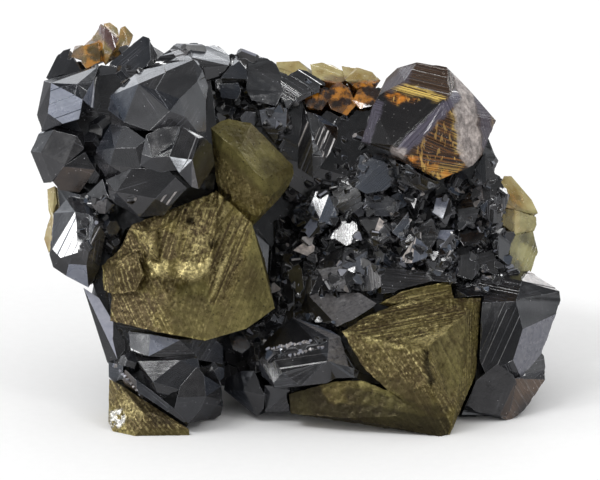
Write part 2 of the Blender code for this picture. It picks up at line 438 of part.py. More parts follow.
def black_mass():
    """What the crystals grow from, open in a deep cleft down the middle and in an arch above the floor."""
    return [
        [(5.5, 8.0, -4), (9.0, 6.8, -5), (15.0, 7.2, -4), (21.0, 8.0, -5), (22.0, 16.0, -3),
         (21.0, 21.0, -3), (12.0, 20.0, -1), (6.5, 20.0, -3), (5.0, 14.0, -4), (6.0, 9.4, -14),
         (12.0, 6.8, -16), (20.0, 8.6, -18), (21.0, 20.0, -20), (8.0, 20.0, -14)],
        [(20.0, 8.0, -7), (26.0, 7.0, -9), (32.0, 8.6, -10), (38.0, 10.0, -8), (46.0, 12.0, -6),
         (49.0, 16.4, -6.5), (50.3, 22.0, -6.5), (34.0, 22.0, -8), (28.0, 14.0, -9), (22.0, 14.0, -6),
         (22.0, 8.6, -17), (30.0, 8.8, -20), (40.0, 10.0, -19), (47.5, 14.6, -16), (49.6, 22.0, -18),
         (30.0, 22.0, -22)],
        [(27.0, 22.0, -11), (34.0, 20.0, -7.5), (50.0, 20.0, -6), (51.5, 27.0, -5.5), (53.0, 33.0, -4),
         (52.0, 38.0, -2.5), (49.0, 40.0, -2), (36.0, 37.0, -2.5), (28.0, 37.0, -3), (26.0, 34.0, -6),
         (25.5, 28.0, -10), (30.0, 20.0, -22), (49.0, 21.0, -19), (52.4, 28.0, -16), (51.5, 36.0, -14),
         (30.0, 39.0, -12), (48.0, 39.5, -10), (46.0, 38.5, -19), (32.0, 38.5, -19)],
        [(11.0, 28.0, -1), (21.0, 30.0, -1), (22.0, 36.0, -0.5), (21.5, 38.5, -1), (19.0, 42.5, 0),
         (12.0, 42.5, 0), (10.8, 36.0, -1.5), (12.0, 29.0, -9), (21.0, 30.0, -10), (20.5, 38.0, -8),
         (19.0, 42.0, -6), (12.0, 42.0, -6)],
        [(8.0, 20.0, -3), (22.0, 20.0, -3), (26.5, 24.0, -5.5), (26.8, 31.0, -5), (22.0, 34.0, -4),
         (11.0, 33.0, -1.5), (9.0, 28.0, -2), (8.0, 21.0, -12), (24.0, 20.0, -20), (28.0, 26.0, -21),
         (27.0, 33.0, -19), (18.0, 34.0, -14), (11.0, 31.0, -9)],
        [(21.0, 12.0, -9), (30.0, 12.0, -11), (31.0, 30.0, -10), (24.0, 33.0, -9), (22.0, 12.0, -18),
         (30.0, 12.0, -20), (30.0, 33.0, -20), (23.0, 34.0, -18)],
        [(20.0, 33.0, -5), (27.0, 32.0, -7), (27.0, 38.0, -6), (22.2, 38.6, -9), (20.4, 38.0, -8),
         (20.0, 33.0, -14), (27.0, 33.0, -19), (27.0, 38.6, -17), (21.6, 37.6, -13)],
        [(44.0, 35.0, -2), (50.0, 36.0, -2), (49.0, 41.6, -1.5), (45.4, 41.4, 0.4), (44.6, 41.0, -0.5),
         (45.0, 36.0, -8), (50.0, 38.0, -8), (49.0, 41.6, -6), (45.0, 41.6, -6)],
    ]


def cleavage_block(across, down, out, size, grain):
    """A twelve-faced block bounded by cleavage planes, turned as its grain is."""
    corners = []
    for x, y, z in itertools.product((-1, 1), repeat=3):
        corners.append(Vector((x, y, z)))
    for axis in range(3):
        for side in (-2, 2):
            tip = Vector((0, 0, 0))
            tip[axis] = side
            corners.append(tip)
    middle = Vector((across, down, out))
    return [tuple(middle + grain @ corner * size / 2) for corner in corners]


def black_back_blocks():
    """The broken back: blocks of three grains with parallel cleavage faces, hidden in the front view."""
    chance = random.Random(GRAIN_SEED)
    grains = [Euler(turn).to_matrix() for turn in GRAIN_TURNS]
    blocks = []
    for across, down, out, grain in [(10, 12, -13, 0), (16, 12, -16, 0), (23, 13, -17, 1),
                                     (30, 14, -19, 1), (38, 15, -18, 1), (45, 18, -16, 2),
                                     (11, 18, -14, 0), (18, 19, -18, 0), (26, 20, -20, 1),
                                     (35, 22, -21, 2), (44, 24, -18, 2), (14, 26, -14, 0),
                                     (21, 28, -18, 0), (30, 29, -20, 1), (39, 30, -19, 2),
                                     (48, 30, -15, 2), (17, 33, -10, 0), (27, 35, -17, 1),
                                     (36, 35, -18, 2), (46, 35, -14, 2), (16, 38, -6, 0)]:
        size = chance.uniform(BLOCK_SIZE_MIN, BLOCK_SIZE_MAX)
        blocks.append(cleavage_block(across, down, out, size, grains[grain]))
    return blocks


def habit_corners():
    """The corners of a sphalerite crystal of unit size: a tetrahedron cut by its opposite and a cube."""
    planes = []
    for x, y, z in itertools.product((-1, 1), repeat=3):
        distance = 1.0 if x * y * z > 0 else HABIT_OPPOSITE_DISTANCE
        planes.append((Vector((x, y, z)).normalized(), distance * HABIT_INNER_RADIUS))
    for axis in range(3):
        for side in (-1, 1):
            normal = Vector((0, 0, 0))
            normal[axis] = side
            planes.append((normal, HABIT_CUBE_DISTANCE * HABIT_INNER_RADIUS))
    corners = []
    for trio in itertools.combinations(planes, 3):
        rows = Matrix([normal for normal, _ in trio])
        if abs(rows.determinant()) < HABIT_PARALLEL_LIMIT:
            continue
        corner = rows.inverted() @ Vector([distance for _, distance in trio])
        if all(normal.dot(corner) < distance + HABIT_TOLERANCE for normal, distance in planes):
            corners.append(corner)
    return corners


def small_crystals(places):
    """Crystals of the sphalerite habit, each turned its own way, at (across, down, out, size)."""
    chance = random.Random(TURN_SEED)
    habit = habit_corners()
    crystals = []
    for across, down, out, size in places:
        turn = Euler([chance.uniform(0, math.pi) for _ in range(3)]).to_matrix()
        middle = Vector((across, down, out))
        crystals.append([tuple(middle + turn @ corner * size) for corner in habit])
    return crystals


def black_druse():
    """Small crystals in the clefts of the front."""
    return small_crystals([
        (24.6, 11.8, -6.2, 1.4), (22.4, 11.2, -6.0, 1.2), (21.0, 12.0, -5.2, 1.1), (25.2, 13.2, -7.0, 1.3),
        (29.6, 12.6, -8.4, 1.3), (28.9, 15.4, -9.2, 1.5), (34.9, 13.0, -9.0, 1.4), (35.6, 12.0, -8.2, 1.2),
        (34.5, 15.3, -8.2, 1.3), (32.9, 18.1, -7.6, 1.3), (29.6, 18.9, -8.8, 1.3), (30.2, 21.6, -8.4, 1.2),
        (28.4, 23.0, -10.0, 1.5), (33.0, 24.0, -6.8, 1.1), (35.9, 21.4, -6.2, 1.1), (38.4, 25.6, -5.4, 1.2),
        (41.8, 20.9, -6.0, 1.2), (42.4, 19.4, -6.0, 1.3), (45.7, 18.4, -6.0, 1.4), (44.4, 22.3, -6.0, 1.1),
        (39.8, 20.0, -6.4, 1.3), (31.2, 26.9, -6.8, 1.3), (29.2, 30.6, -6.6, 1.4), (27.3, 27.0, -10.4, 1.6),
        (27.6, 32.2, -6.0, 1.5), (45.0, 26.4, -4.6, 1.2), (50.6, 27.4, -5.6, 1.3), (49.6, 22.8, -5.8, 1.2),
        (10.2, 12.9, -2.6, 1.5), (9.2, 14.4, -2.2, 1.3), (9.4, 17.2, -1.2, 1.3), (10.6, 8.6, -5.4, 1.4),
        (9.9, 11.0, -4.4, 1.3), (12.3, 7.6, -5.0, 1.2), (10.9, 22.6, 0.2, 1.4), (11.6, 24.4, -0.4, 1.2),
        (9.6, 20.6, 0, 1.1), (23.4, 34.8, -6.0, 1.8), (23.0, 37.0, -7.6, 1.7), (25.0, 33.2, -7.0, 1.7),
        (11.6, 33.6, -1.6, 1.3), (13.0, 36.3, 0.4, 1.2), (21.2, 37.0, 0.6, 1.4), (21.0, 40.6, 0, 1.4),
        (29.6, 38.4, 0, 1.5), (46.4, 38.0, -1.4, 1.5), (46.6, 41.0, -2.4, 1.6), (49.0, 41.4, -2.8, 1.4),
    ])


def black_side_crystals():
    """Larger crystals on the top, the ends and the edges of the back, out of the front view."""
    return small_crystals([
        (8.4, 9.2, -10, 2.2), (12.2, 9.2, -13, 2.4), (16.0, 8.8, -11, 2.6), (19.6, 8.6, -15.4, 2.6),
        (23.0, 9.0, -12, 2.4), (26.6, 9.6, -16.4, 2.6), (33.0, 11.6, -18.4, 2.6), (37.8, 11.8, -16, 2.6),
        (42.0, 12.4, -13, 2.8), (45.6, 14.4, -12.6, 2.6), (30.4, 10.6, -18.8, 2.2), (7.2, 10.6, -7.6, 2.4),
        (7.2, 15.6, -9, 2.6), (8.0, 20.4, -9.4, 2.4), (8.6, 24.6, -7.0, 2.4), (11.4, 29.6, -7.6, 2.4),
        (47.6, 16.4, -12, 2.4), (49.8, 20.6, -14.4, 2.6), (50.4, 25.2, -14.6, 2.6), (51.8, 30.2, -12.6, 2.8),
        (51.4, 34.6, -12, 2.6), (49.4, 38.4, -9.4, 2.4), (12.6, 35.0, -6.6, 2.2), (20.4, 34.0, -10.4, 2.4),
    ])


def black_crystals():
    return (black_mass() + black_back_blocks() + black_side_crystals() + black_druse()
            + black_front_crystals() + black_left_crystals() + black_top_crystals()
            + black_middle_crystals() + black_right_crystals() + black_lower_crystals())


def amber_crystals():
    """The big translucent crystal at the upper right."""
    return [
        [(38.3, 8.9, -3.0), (38.5, 8.0, -4.5), (39.7, 6.8, -5.0), (41.6, 6.2, -5.0), (43.0, 6.3, -4.8),
         (44.6, 6.8, -4.2), (45.7, 7.9, -3.0), (40.4, 8.2, -1.9), (39.2, 9.0, -1.9), (44.9, 9.8, 0.6),
         (44.3, 10.0, 0.9), (41.5, 9.8, -0.4), (38.0, 9.3, -2.4), (37.2, 10.8, -1.8), (36.3, 14.3, -0.6),
         (39.1, 14.4, 1.6), (40.2, 15.5, 2.0), (44.9, 11.1, 1.2), (45.4, 11.3, 1.0), (46.6, 15.3, 0.2),
         (47.3, 16.5, -0.8), (44.0, 18.0, -0.2), (48.2, 15.5, -2.0), (49.6, 12.2, -4.0), (47.0, 9.0, -3.2),
         (46.0, 8.0, -3.4), (47.5, 12.2, -1.2), (40.0, 8.0, -10), (47.0, 10.0, -10), (48.5, 14.0, -8),
         (42.0, 17.0, -7), (37.5, 13.0, -6)],
    ]


def honey_tip_crystals():
    """The yellow and mauve crystals at the upper left tip."""
    return [
        [(10.1, 2.4, -7), (10.5, 2.6, -6.5), (11.9, 4.1, -6.3), (11.2, 5.3, -5.5), (10.4, 4.9, -5.6),
         (10.1, 3.8, -6.2), (9.4, 3.6, -7.5), (9.0, 4.1, -8), (11.0, 3.2, -10), (10.0, 5.0, -11),
         (12.0, 5.5, -10), (10.5, 6.5, -6)],
        [(10.3, 2.4, -8.5), (11.0, 2.25, -8.5), (11.8, 2.8, -8.2), (11.9, 3.7, -7.8), (11.0, 4.0, -8),
         (10.5, 2.6, -12), (11.8, 3.1, -12), (11.0, 5.0, -12)],
        [(12.0, 2.8, -8.2), (12.5, 2.6, -8.2), (13.3, 3.5, -8), (13.0, 4.3, -7.3), (11.9, 3.8, -7.5),
         (12.5, 5.5, -7), (11.5, 6.0, -7), (12.5, 3.1, -12), (13.2, 4.0, -12), (12.0, 5.5, -12)],
        [(8.4, 4.5, -6.5), (9.8, 4.2, -6.2), (10.1, 5.0, -6), (10.0, 6.2, -5), (8.6, 6.9, -4.6),
         (8.1, 6.2, -5), (9.0, 4.0, -8), (9.0, 4.5, -11), (9.0, 6.5, -10), (11.0, 6.0, -9)],
        [(7.3, 5.1, -6), (8.2, 4.5, -6.5), (8.5, 6.2, -5.2), (7.1, 5.7, -5.5), (7.5, 4.6, -9),
         (8.0, 6.0, -9), (9.5, 5.2, -8)],
    ]


def honey_top_crystals():
    """The pale and amber crystals along the middle of the top."""
    return [
        [(27.6, 6.2, -9), (29.9, 6.1, -9.5), (30.6, 6.7, -9.0), (31.1, 7.4, -8.4), (28.4, 7.9, -8.0),
         (27.6, 7.4, -8.4), (28.5, 6.6, -14), (31.5, 7.2, -14), (29.0, 10.0, -11), (32.0, 8.5, -11)],
        [(31.1, 6.4, -10), (32.2, 6.2, -10.5), (33.4, 6.6, -10.5), (34.3, 7.1, -10), (35.0, 7.9, -9),
         (33.8, 8.3, -8), (32.6, 8.2, -8), (31.2, 7.4, -8.6), (31.8, 7.0, -15), (34.5, 7.7, -15),
         (33.0, 11.0, -12)],
        [(34.1, 6.6, -10.5), (36.0, 6.8, -10.5), (37.3, 7.2, -10), (38.1, 8.1, -9), (37.1, 8.5, -7.8),
         (35.6, 8.8, -7.4), (34.6, 8.0, -8.2), (35.0, 7.3, -15), (37.8, 8.2, -15), (36.0, 11.0, -11)],
        [(30.3, 9.6, -6.4), (31.2, 8.7, -6.8), (32.8, 8.9, -6.6), (33.0, 9.8, -6.0), (32.2, 11.1, -5.2),
         (30.8, 10.7, -5.4), (31.0, 9.4, -11), (33.5, 10.0, -11), (31.5, 12.0, -9)],
        [(33.0, 8.6, -7), (34.0, 8.2, -7.4), (34.9, 8.7, -7), (35.6, 10.5, -5.8), (34.7, 11.6, -5.6),
         (33.2, 11.0, -5.6), (32.6, 9.8, -6.2), (34.0, 8.8, -12), (35.0, 11.0, -10), (32.6, 10.8, -9)],
        [(35.8, 9.0, -6.8), (37.1, 8.3, -7.2), (38.0, 9.2, -6.4), (37.3, 10.6, -5.4), (36.0, 10.9, -5.6),
         (35.3, 10.0, -6), (36.5, 9.0, -11), (37.5, 10.5, -10), (34.9, 10.4, -9)],
    ]


def honey_right_crystals():
    """The yellow-green crystals along the right edge."""
    return [
        [(50.3, 17.6, -7.5), (51.2, 17.6, -8), (51.9, 18.7, -8), (53.3, 20.3, -8), (53.8, 21.4, -7.6),
         (52.6, 21.3, -6.4), (50.5, 20.7, -5.6), (50.8, 19.6, -5.8), (50.1, 18.6, -6.2), (51.0, 18.5, -13),
         (53.2, 21.0, -13), (50.0, 21.0, -11), (52.0, 22.5, -10)],
        [(50.5, 20.9, -5.4), (51.4, 21.0, -5.2), (52.7, 21.3, -6.2), (52.0, 22.2, -5.8), (51.5, 23.4, -5.4),
         (50.0, 22.3, -5.4), (53.6, 21.7, -7.4), (53.7, 22.4, -7.4), (53.4, 23.1, -7.2), (51.0, 22.0, -11),
         (53.2, 22.5, -12), (52.0, 24.5, -9)],
        [(51.1, 23.6, -5.6), (53.4, 23.1, -7), (53.3, 24.2, -7.2), (53.8, 25.2, -7.4), (53.3, 26.3, -7.2),
         (53.1, 27.2, -7), (51.8, 27.4, -5.4), (50.9, 26.4, -5.2), (52.0, 23.4, -13), (53.2, 26.0, -13),
         (52.0, 28.0, -11)],
    ]


def honey_left_crystals():
    """The pale yellow crystals at the left edge."""
    return [
        [(4.8, 18.9, -3.4), (5.5, 18.6, -3.2), (5.7, 20.2, -3.0), (5.2, 22.0, -2.6), (4.8, 20.9, -3.2),
         (5.4, 19.0, -7), (5.6, 22.5, -6), (7.0, 20.0, -6)],
        [(5.2, 21.2, -2.8), (5.9, 22.4, -2.0), (5.2, 24.6, -1.4), (4.9, 25.3, -1.6), (4.4, 23.9, -2.4),
         (4.6, 22.8, -2.6), (5.5, 21.2, -6), (5.3, 25.0, -6), (7.0, 23.5, -6)],
    ]


def brassy_left_crystals():
    """The big striated crystal, its raised rough block and the rounded crystal above it."""
    return [
        [(11.2, 29.5, 1.8), (11.2, 32.0, 2.2), (12.5, 32.3, 3.2), (14.8, 32.7, 4.6), (15.5, 33.3, 5.0),
         (18.0, 33.6, 5.4), (20.5, 33.7, 5.4), (23.0, 33.4, 4.6), (24.5, 33.0, 3.8), (26.0, 32.0, 2.8),
         (27.5, 30.7, 1.6), (27.0, 29.0, 1.6), (26.2, 26.2, 1.8), (25.4, 24.0, 2.0), (25.2, 22.2, 1.8),
         (22.8, 20.0, 2.2), (21.7, 19.0, 2.2), (17.0, 21.0, 3.2), (13.0, 22.8, 2.8), (11.2, 26.5, 2.0),
         (16.0, 27.5, 4.8), (19.5, 29.0, 5.0), (13.0, 23.0, -4), (22.0, 20.0, -5), (26.5, 26.0, -5),
         (26.5, 31.0, -4), (20.0, 33.2, -3), (12.0, 31.5, -3)],
        [(14.6, 26.3, 6.4), (16.0, 27.7, 7.0), (19.0, 28.1, 7.0), (20.5, 27.5, 6.6), (21.2, 26.5, 6.2),
         (21.6, 24.0, 5.4), (21.8, 21.0, 4.2), (21.5, 19.2, 3.0), (20.5, 19.5, 3.4), (17.0, 21.2, 4.6),
         (15.0, 22.5, 5.2), (14.3, 24.5, 5.8), (16.0, 22.0, -2), (20.0, 21.0, -2), (19.0, 26.0, -2),
         (16.0, 26.0, -1)],
        [(13.0, 22.8, 5.2), (15.8, 22.9, 6.2), (15.9, 26.1, 7.2), (15.0, 25.9, 7.0), (14.5, 23.5, 0),
         (15.5, 25.5, 1)],
        [(10.1, 26.6, 1.6), (11.8, 25.0, 2.4), (12.2, 24.6, 2.6), (13.8, 25.4, 4.8), (14.4, 27.4, 5.2),
         (13.6, 29.1, 4.6), (11.0, 29.4, 2.6), (10.4, 29.0, 1.8), (12.0, 26.6, 4.0), (11.5, 27.0, -4),
         (14.0, 27.0, -2)],
        [(21.3, 12.8, 2.0), (22.0, 12.1, 1.2), (23.0, 11.9, 0.8), (24.7, 12.2, 0.4), (26.2, 13.6, 0),
         (27.5, 14.6, 0), (28.6, 15.8, 0), (29.3, 16.7, 0), (29.4, 17.4, 0.2), (28.9, 18.6, 0.6),
         (27.9, 19.9, 1.0), (22.2, 13.8, 3.4), (24.0, 15.0, 4.2), (25.1, 16.8, 4.6), (26.4, 18.1, 4.2),
         (27.4, 19.3, 3.0), (25.8, 21.8, 1.4), (24.0, 20.8, 1.8), (22.7, 19.8, 1.8), (21.4, 18.0, 1.6),
         (21.3, 14.5, 1.8), (22.0, 13.0, -5), (28.0, 16.0, -5), (26.0, 21.0, -4), (22.5, 18.5, -4),
         (23.0, 22.5, -1.5), (24.5, 23.5, -1.5)],
    ]


def brassy_right_crystals():
    """The tetrahedral crystal, the ledge behind its top and the smooth lump below it."""
    return [
        [(34.2, 33.1, 3.0), (36.2, 31.8, 1.2), (40.0, 30.2, 0), (44.0, 29.7, -0.6), (47.9, 29.8, -0.8),
         (47.8, 36.0, 0.6), (47.0, 39.0, 2.0), (45.5, 42.2, 4.2), (46.7, 30.7, 1.8), (46.9, 35.0, 2.9),
         (45.9, 38.5, 4.0), (45.2, 41.6, 5.0), (42.2, 35.0, 7.0), (43.4, 34.8, 6.8), (43.2, 38.6, 6.8),
         (36.4, 36.5, 4.0), (38.0, 38.6, 4.6), (39.8, 39.7, 5.2), (44.0, 43.6, 5.0), (44.6, 43.6, 4.6),
         (37.0, 33.0, -4), (47.0, 31.0, -6), (46.5, 40.0, -4), (40.0, 39.0, -3), (43.0, 31.0, -7)],
        [(37.8, 30.4, -1.5), (39.5, 29.4, -2.0), (42.0, 28.6, -2.5), (45.0, 28.2, -2.8), (45.4, 29.8, -1.0),
         (41.0, 30.2, -0.5), (40.0, 30.6, -6), (45.0, 29.5, -7), (43.0, 32.0, -3)],
        [(28.9, 39.6, 2.6), (31.0, 38.7, 3.4), (34.0, 38.1, 3.8), (36.4, 38.0, 4.0), (40.0, 39.6, 5.0),
         (42.0, 40.6, 5.4), (43.8, 43.2, 5.0), (44.5, 43.9, 4.8), (40.0, 42.0, 5.2), (34.5, 41.8, 4.6),
         (29.0, 41.2, 2.8), (30.0, 40.0, -4), (36.0, 38.6, -4), (43.0, 41.0, -3), (44.0, 43.0, -1),
         (34.0, 42.0, -3)],
    ]


def brassy_foot_crystals():
    """The brassy crystal at the lower left foot."""
    return [
        [(10.8, 38.0, 1.6), (12.0, 38.3, 3.0), (14.0, 40.8, 4.6), (14.8, 42.0, 5.0), (18.4, 42.9, 5.0),
         (19.0, 43.3, 4.6), (19.0, 43.9, 4.4), (13.5, 43.7, 4.8), (11.3, 43.2, 3.4), (11.0, 42.5, 3.0),
         (10.9, 39.6, 2.0), (11.5, 39.0, -3), (11.2, 43.4, -2), (18.0, 43.9, -1), (15.0, 41.0, -2)],
    ]


def build():
    clear_scene()
    black = material("black_sphalerite", (0.035, 0.036, 0.042), 0.12, 0.0)
    amber = material("amber_sphalerite", (0.30, 0.11, 0.02), 0.1, 0.0)
    honey = material("honey_sphalerite", (0.42, 0.33, 0.12), 0.15, 0.0)
    brass = material("chalcopyrite", (0.30, 0.26, 0.10), 0.35, 0.9)

    amber_group = amber_crystals()
    tip = honey_tip_crystals()
    top = honey_top_crystals()
    right = honey_right_crystals()
    left = honey_left_crystals()
    brassy_left = brassy_left_crystals()
    brassy_right = brassy_right_crystals()
    brassy_foot = brassy_foot_crystals()

    node("amber_crystal", amber_group, amber)
    node("chalcopyrite_left", brassy_left, brass)
    node("chalcopyrite_right", brassy_right, brass, on_floor=True)
    node("chalcopyrite_foot", brassy_foot, brass, on_floor=True)
    node("honey_crystals_tip", tip, honey)
    node("honey_crystals_top", top, honey, [amber_group])
    node("honey_crystals_right", right, honey, [amber_group])
    node("honey_crystals_left", left, honey)
    neighbours = [amber_group, tip, top, right, left, brassy_left, brassy_right, brassy_foot]
    node("sphalerite_cluster", black_crystals(), black, neighbours, on_floor=True)


build()
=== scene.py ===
"""Looks of the sphalerite specimen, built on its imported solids.

Each piece is a copy of a CAD node with more in it: growth steps cut across its facets, small crystals in its
clefts and a ribbed, pitted skin on the chalcopyrite. Places are read in the specimen's front view, as
millimetres across from its left and millimetres down from its top. The front faces -Y.
"""

import itertools
import math
import random

import bmesh
import bpy
from mathutils import Euler, Matrix, Vector, noise
from mathutils.bvhtree import BVHTree


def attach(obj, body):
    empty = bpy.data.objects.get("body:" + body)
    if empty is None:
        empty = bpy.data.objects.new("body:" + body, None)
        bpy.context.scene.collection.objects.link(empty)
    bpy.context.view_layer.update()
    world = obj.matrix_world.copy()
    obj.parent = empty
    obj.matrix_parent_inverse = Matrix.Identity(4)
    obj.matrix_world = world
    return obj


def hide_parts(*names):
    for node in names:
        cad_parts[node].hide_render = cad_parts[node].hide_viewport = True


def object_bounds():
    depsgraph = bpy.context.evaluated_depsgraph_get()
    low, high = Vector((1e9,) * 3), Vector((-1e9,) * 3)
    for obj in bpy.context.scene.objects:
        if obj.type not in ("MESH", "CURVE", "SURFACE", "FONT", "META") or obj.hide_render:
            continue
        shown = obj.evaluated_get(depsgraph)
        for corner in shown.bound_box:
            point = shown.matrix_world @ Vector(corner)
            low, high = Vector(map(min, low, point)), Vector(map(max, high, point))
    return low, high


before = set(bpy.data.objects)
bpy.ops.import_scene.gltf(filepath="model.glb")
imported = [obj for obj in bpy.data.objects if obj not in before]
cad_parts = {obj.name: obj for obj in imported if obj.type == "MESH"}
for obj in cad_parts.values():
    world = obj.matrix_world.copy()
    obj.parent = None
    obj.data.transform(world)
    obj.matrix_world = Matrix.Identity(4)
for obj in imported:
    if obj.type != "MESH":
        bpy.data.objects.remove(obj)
cad_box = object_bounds()

MM = 0.001
FRONT_VIEW_TILT = math.radians(15)
EYE_DISTANCE = 450.0
VIEW_WIDTH = 60.0
VIEW_CENTRE_ACROSS = 30.0
VIEW_CENTRE_DOWN = 24.0
VIEW_CENTRE = Vector((0.37, -7.04, 17.5))
RIGHT = Vector((1, 0, 0))
UPWARD = Vector((0, math.sin(FRONT_VIEW_TILT), math.cos(FRONT_VIEW_TILT)))
TOWARD_EYE = Vector((0, -math.cos(FRONT_VIEW_TILT), math.sin(FRONT_VIEW_TILT)))
EYE = (VIEW_CENTRE + TOWARD_EYE * EYE_DISTANCE) * MM

WELD = 0.001 * MM
FLUSH = math.radians(0.5)
BOX_MARGIN = 0.02 * MM
GRAZING = 0.02
EDGE_ON = 0.05
RAY_START = WELD * 20
SENSOR_WIDTH = 36.0
LAMP_TARGET = Vector((0, 0, 0.018))
SPHALERITE_IOR = 2.37
FIRST_RISER_FACET = 50000
FIRST_SMALL_FACET = 100000

STEP_SEED = 21
STEP_FACET_AREA = 0.9 * MM * MM
STEP_FACET_WIDTH = 0.7 * MM
STEP_SHARE = 0.35
STEP_LEVELS = (0, 0.5, 1)
FIRST_STEP_PLACES = (0.4, 1.2)
STEP_PLACES = (0.5, 1.7)
MOST_STEPS = 12
PLAIN_STEPS = (0.5, 0.06, 0.07)
LARGE_CRYSTALS_END = 23
CUT_CLEARANCE = 0.003 * MM

DRUSE_SEED = 8
DRUSE_TRIES = 14000
DRUSE_FACE_AREA = 0.02 * MM * MM
DRUSE_BACK = 4 * MM
DRUSE_REACH = 2.5 * MM
DRUSE_CLEFT = 0.6
DRUSE_OPEN = 0.3
DRUSE_SIZES = (0.16, 0.42)
DRUSE_BACK_SIZES = (0.3, 1.0)
DRUSE_LOWEST = 0.9 * MM
DRUSE_CELL = 2 * MM
DRUSE_TALLEST = 1.8
DRUSE_WIDEST = 2.2
DRUSE_GAP = 1.1
DRUSE_SUNK = 0.2
DRUSE_STRETCH = (0.7, 1.5)
CAVITY_RAYS = 6
CAVITY_SPREAD = 0.9
DRUSE_ZONES = (
    ((27, 9.5), (37, 9), (38.5, 15.5), (44, 18.5), (51, 18), (52, 27.5), (48, 29.5),
     (38, 29), (34, 32), (28, 34), (26.5, 30), (28.5, 20)),
    ((7, 3.5), (16, 3.5), (15.5, 6.5), (12, 9), (9.8, 8)),
    ((21, 8.5), (27.5, 8.5), (29, 10), (26, 13), (21, 11.5)),
    ((8.5, 19), (13.5, 19.5), (13, 23), (10, 29), (7, 28)),
    ((24.5, 31), (35, 31.5), (33, 34), (25, 36.5)),
)
BARE_ZONE = ((29, 11), (33.8, 10.6), (34.2, 12.6), (33, 17), (29, 17.6))
OPEN_ZONE = ((33.6, 11.5), (38, 12), (37.5, 15), (36, 18), (31.5, 19.5), (31.5, 17.6))
HABIT_OPPOSITE_DISTANCE = 1.7
HABIT_CUBE_DISTANCE = 1.38
HABIT_PARALLEL_LIMIT = 0.01
HABIT_TOLERANCE = 0.000001

# Finishes of the facets of the black sphalerite, with as many of these strengths as each needs.
# The first strength lightens a facet: a grey tone on the grey ones, painted reflected light on the light,
# white, sky, mirror-band, light blue, pearl and lilac ones; the fourth tints that lightening bluish.
FINISH_NAMES = ("pale", "frost", "ribs", "blue", "warm")
FINISHES = {
    "black": (0, 0, 0.1),
    "dark": (0.12, 0, 0.15),
    "grey": (0.3, 0.12, 0.1),
    "matt grey": (0.28, 0.22, 0),
    "light": (1, 0.3, 0.3),
    "white": (1, 0.75, 0.3),
    "blue": (0.4, 0.12, 0.25, 1),
    "sky": (1, 0.62, 0.5, 1),
    "light blue": (0.9, 0.6, 0.4, 0.9),
    "lilac": (1, 0.85, 0, 0.9),
    "beige": (0.9, 1, 0.5, 0, 0.12),
    "pearl": (1, 0.55, 0, 0.6),
    "amber brown": (0.1, 0.1, 0.8, 0, 0.4),
    "brown": (0.05, 0.1, 0.2, 0, 0.22),
    "mirror": (0.3, 0, 0, 0.4),
    "striped": (0.1, 0, 1),
}
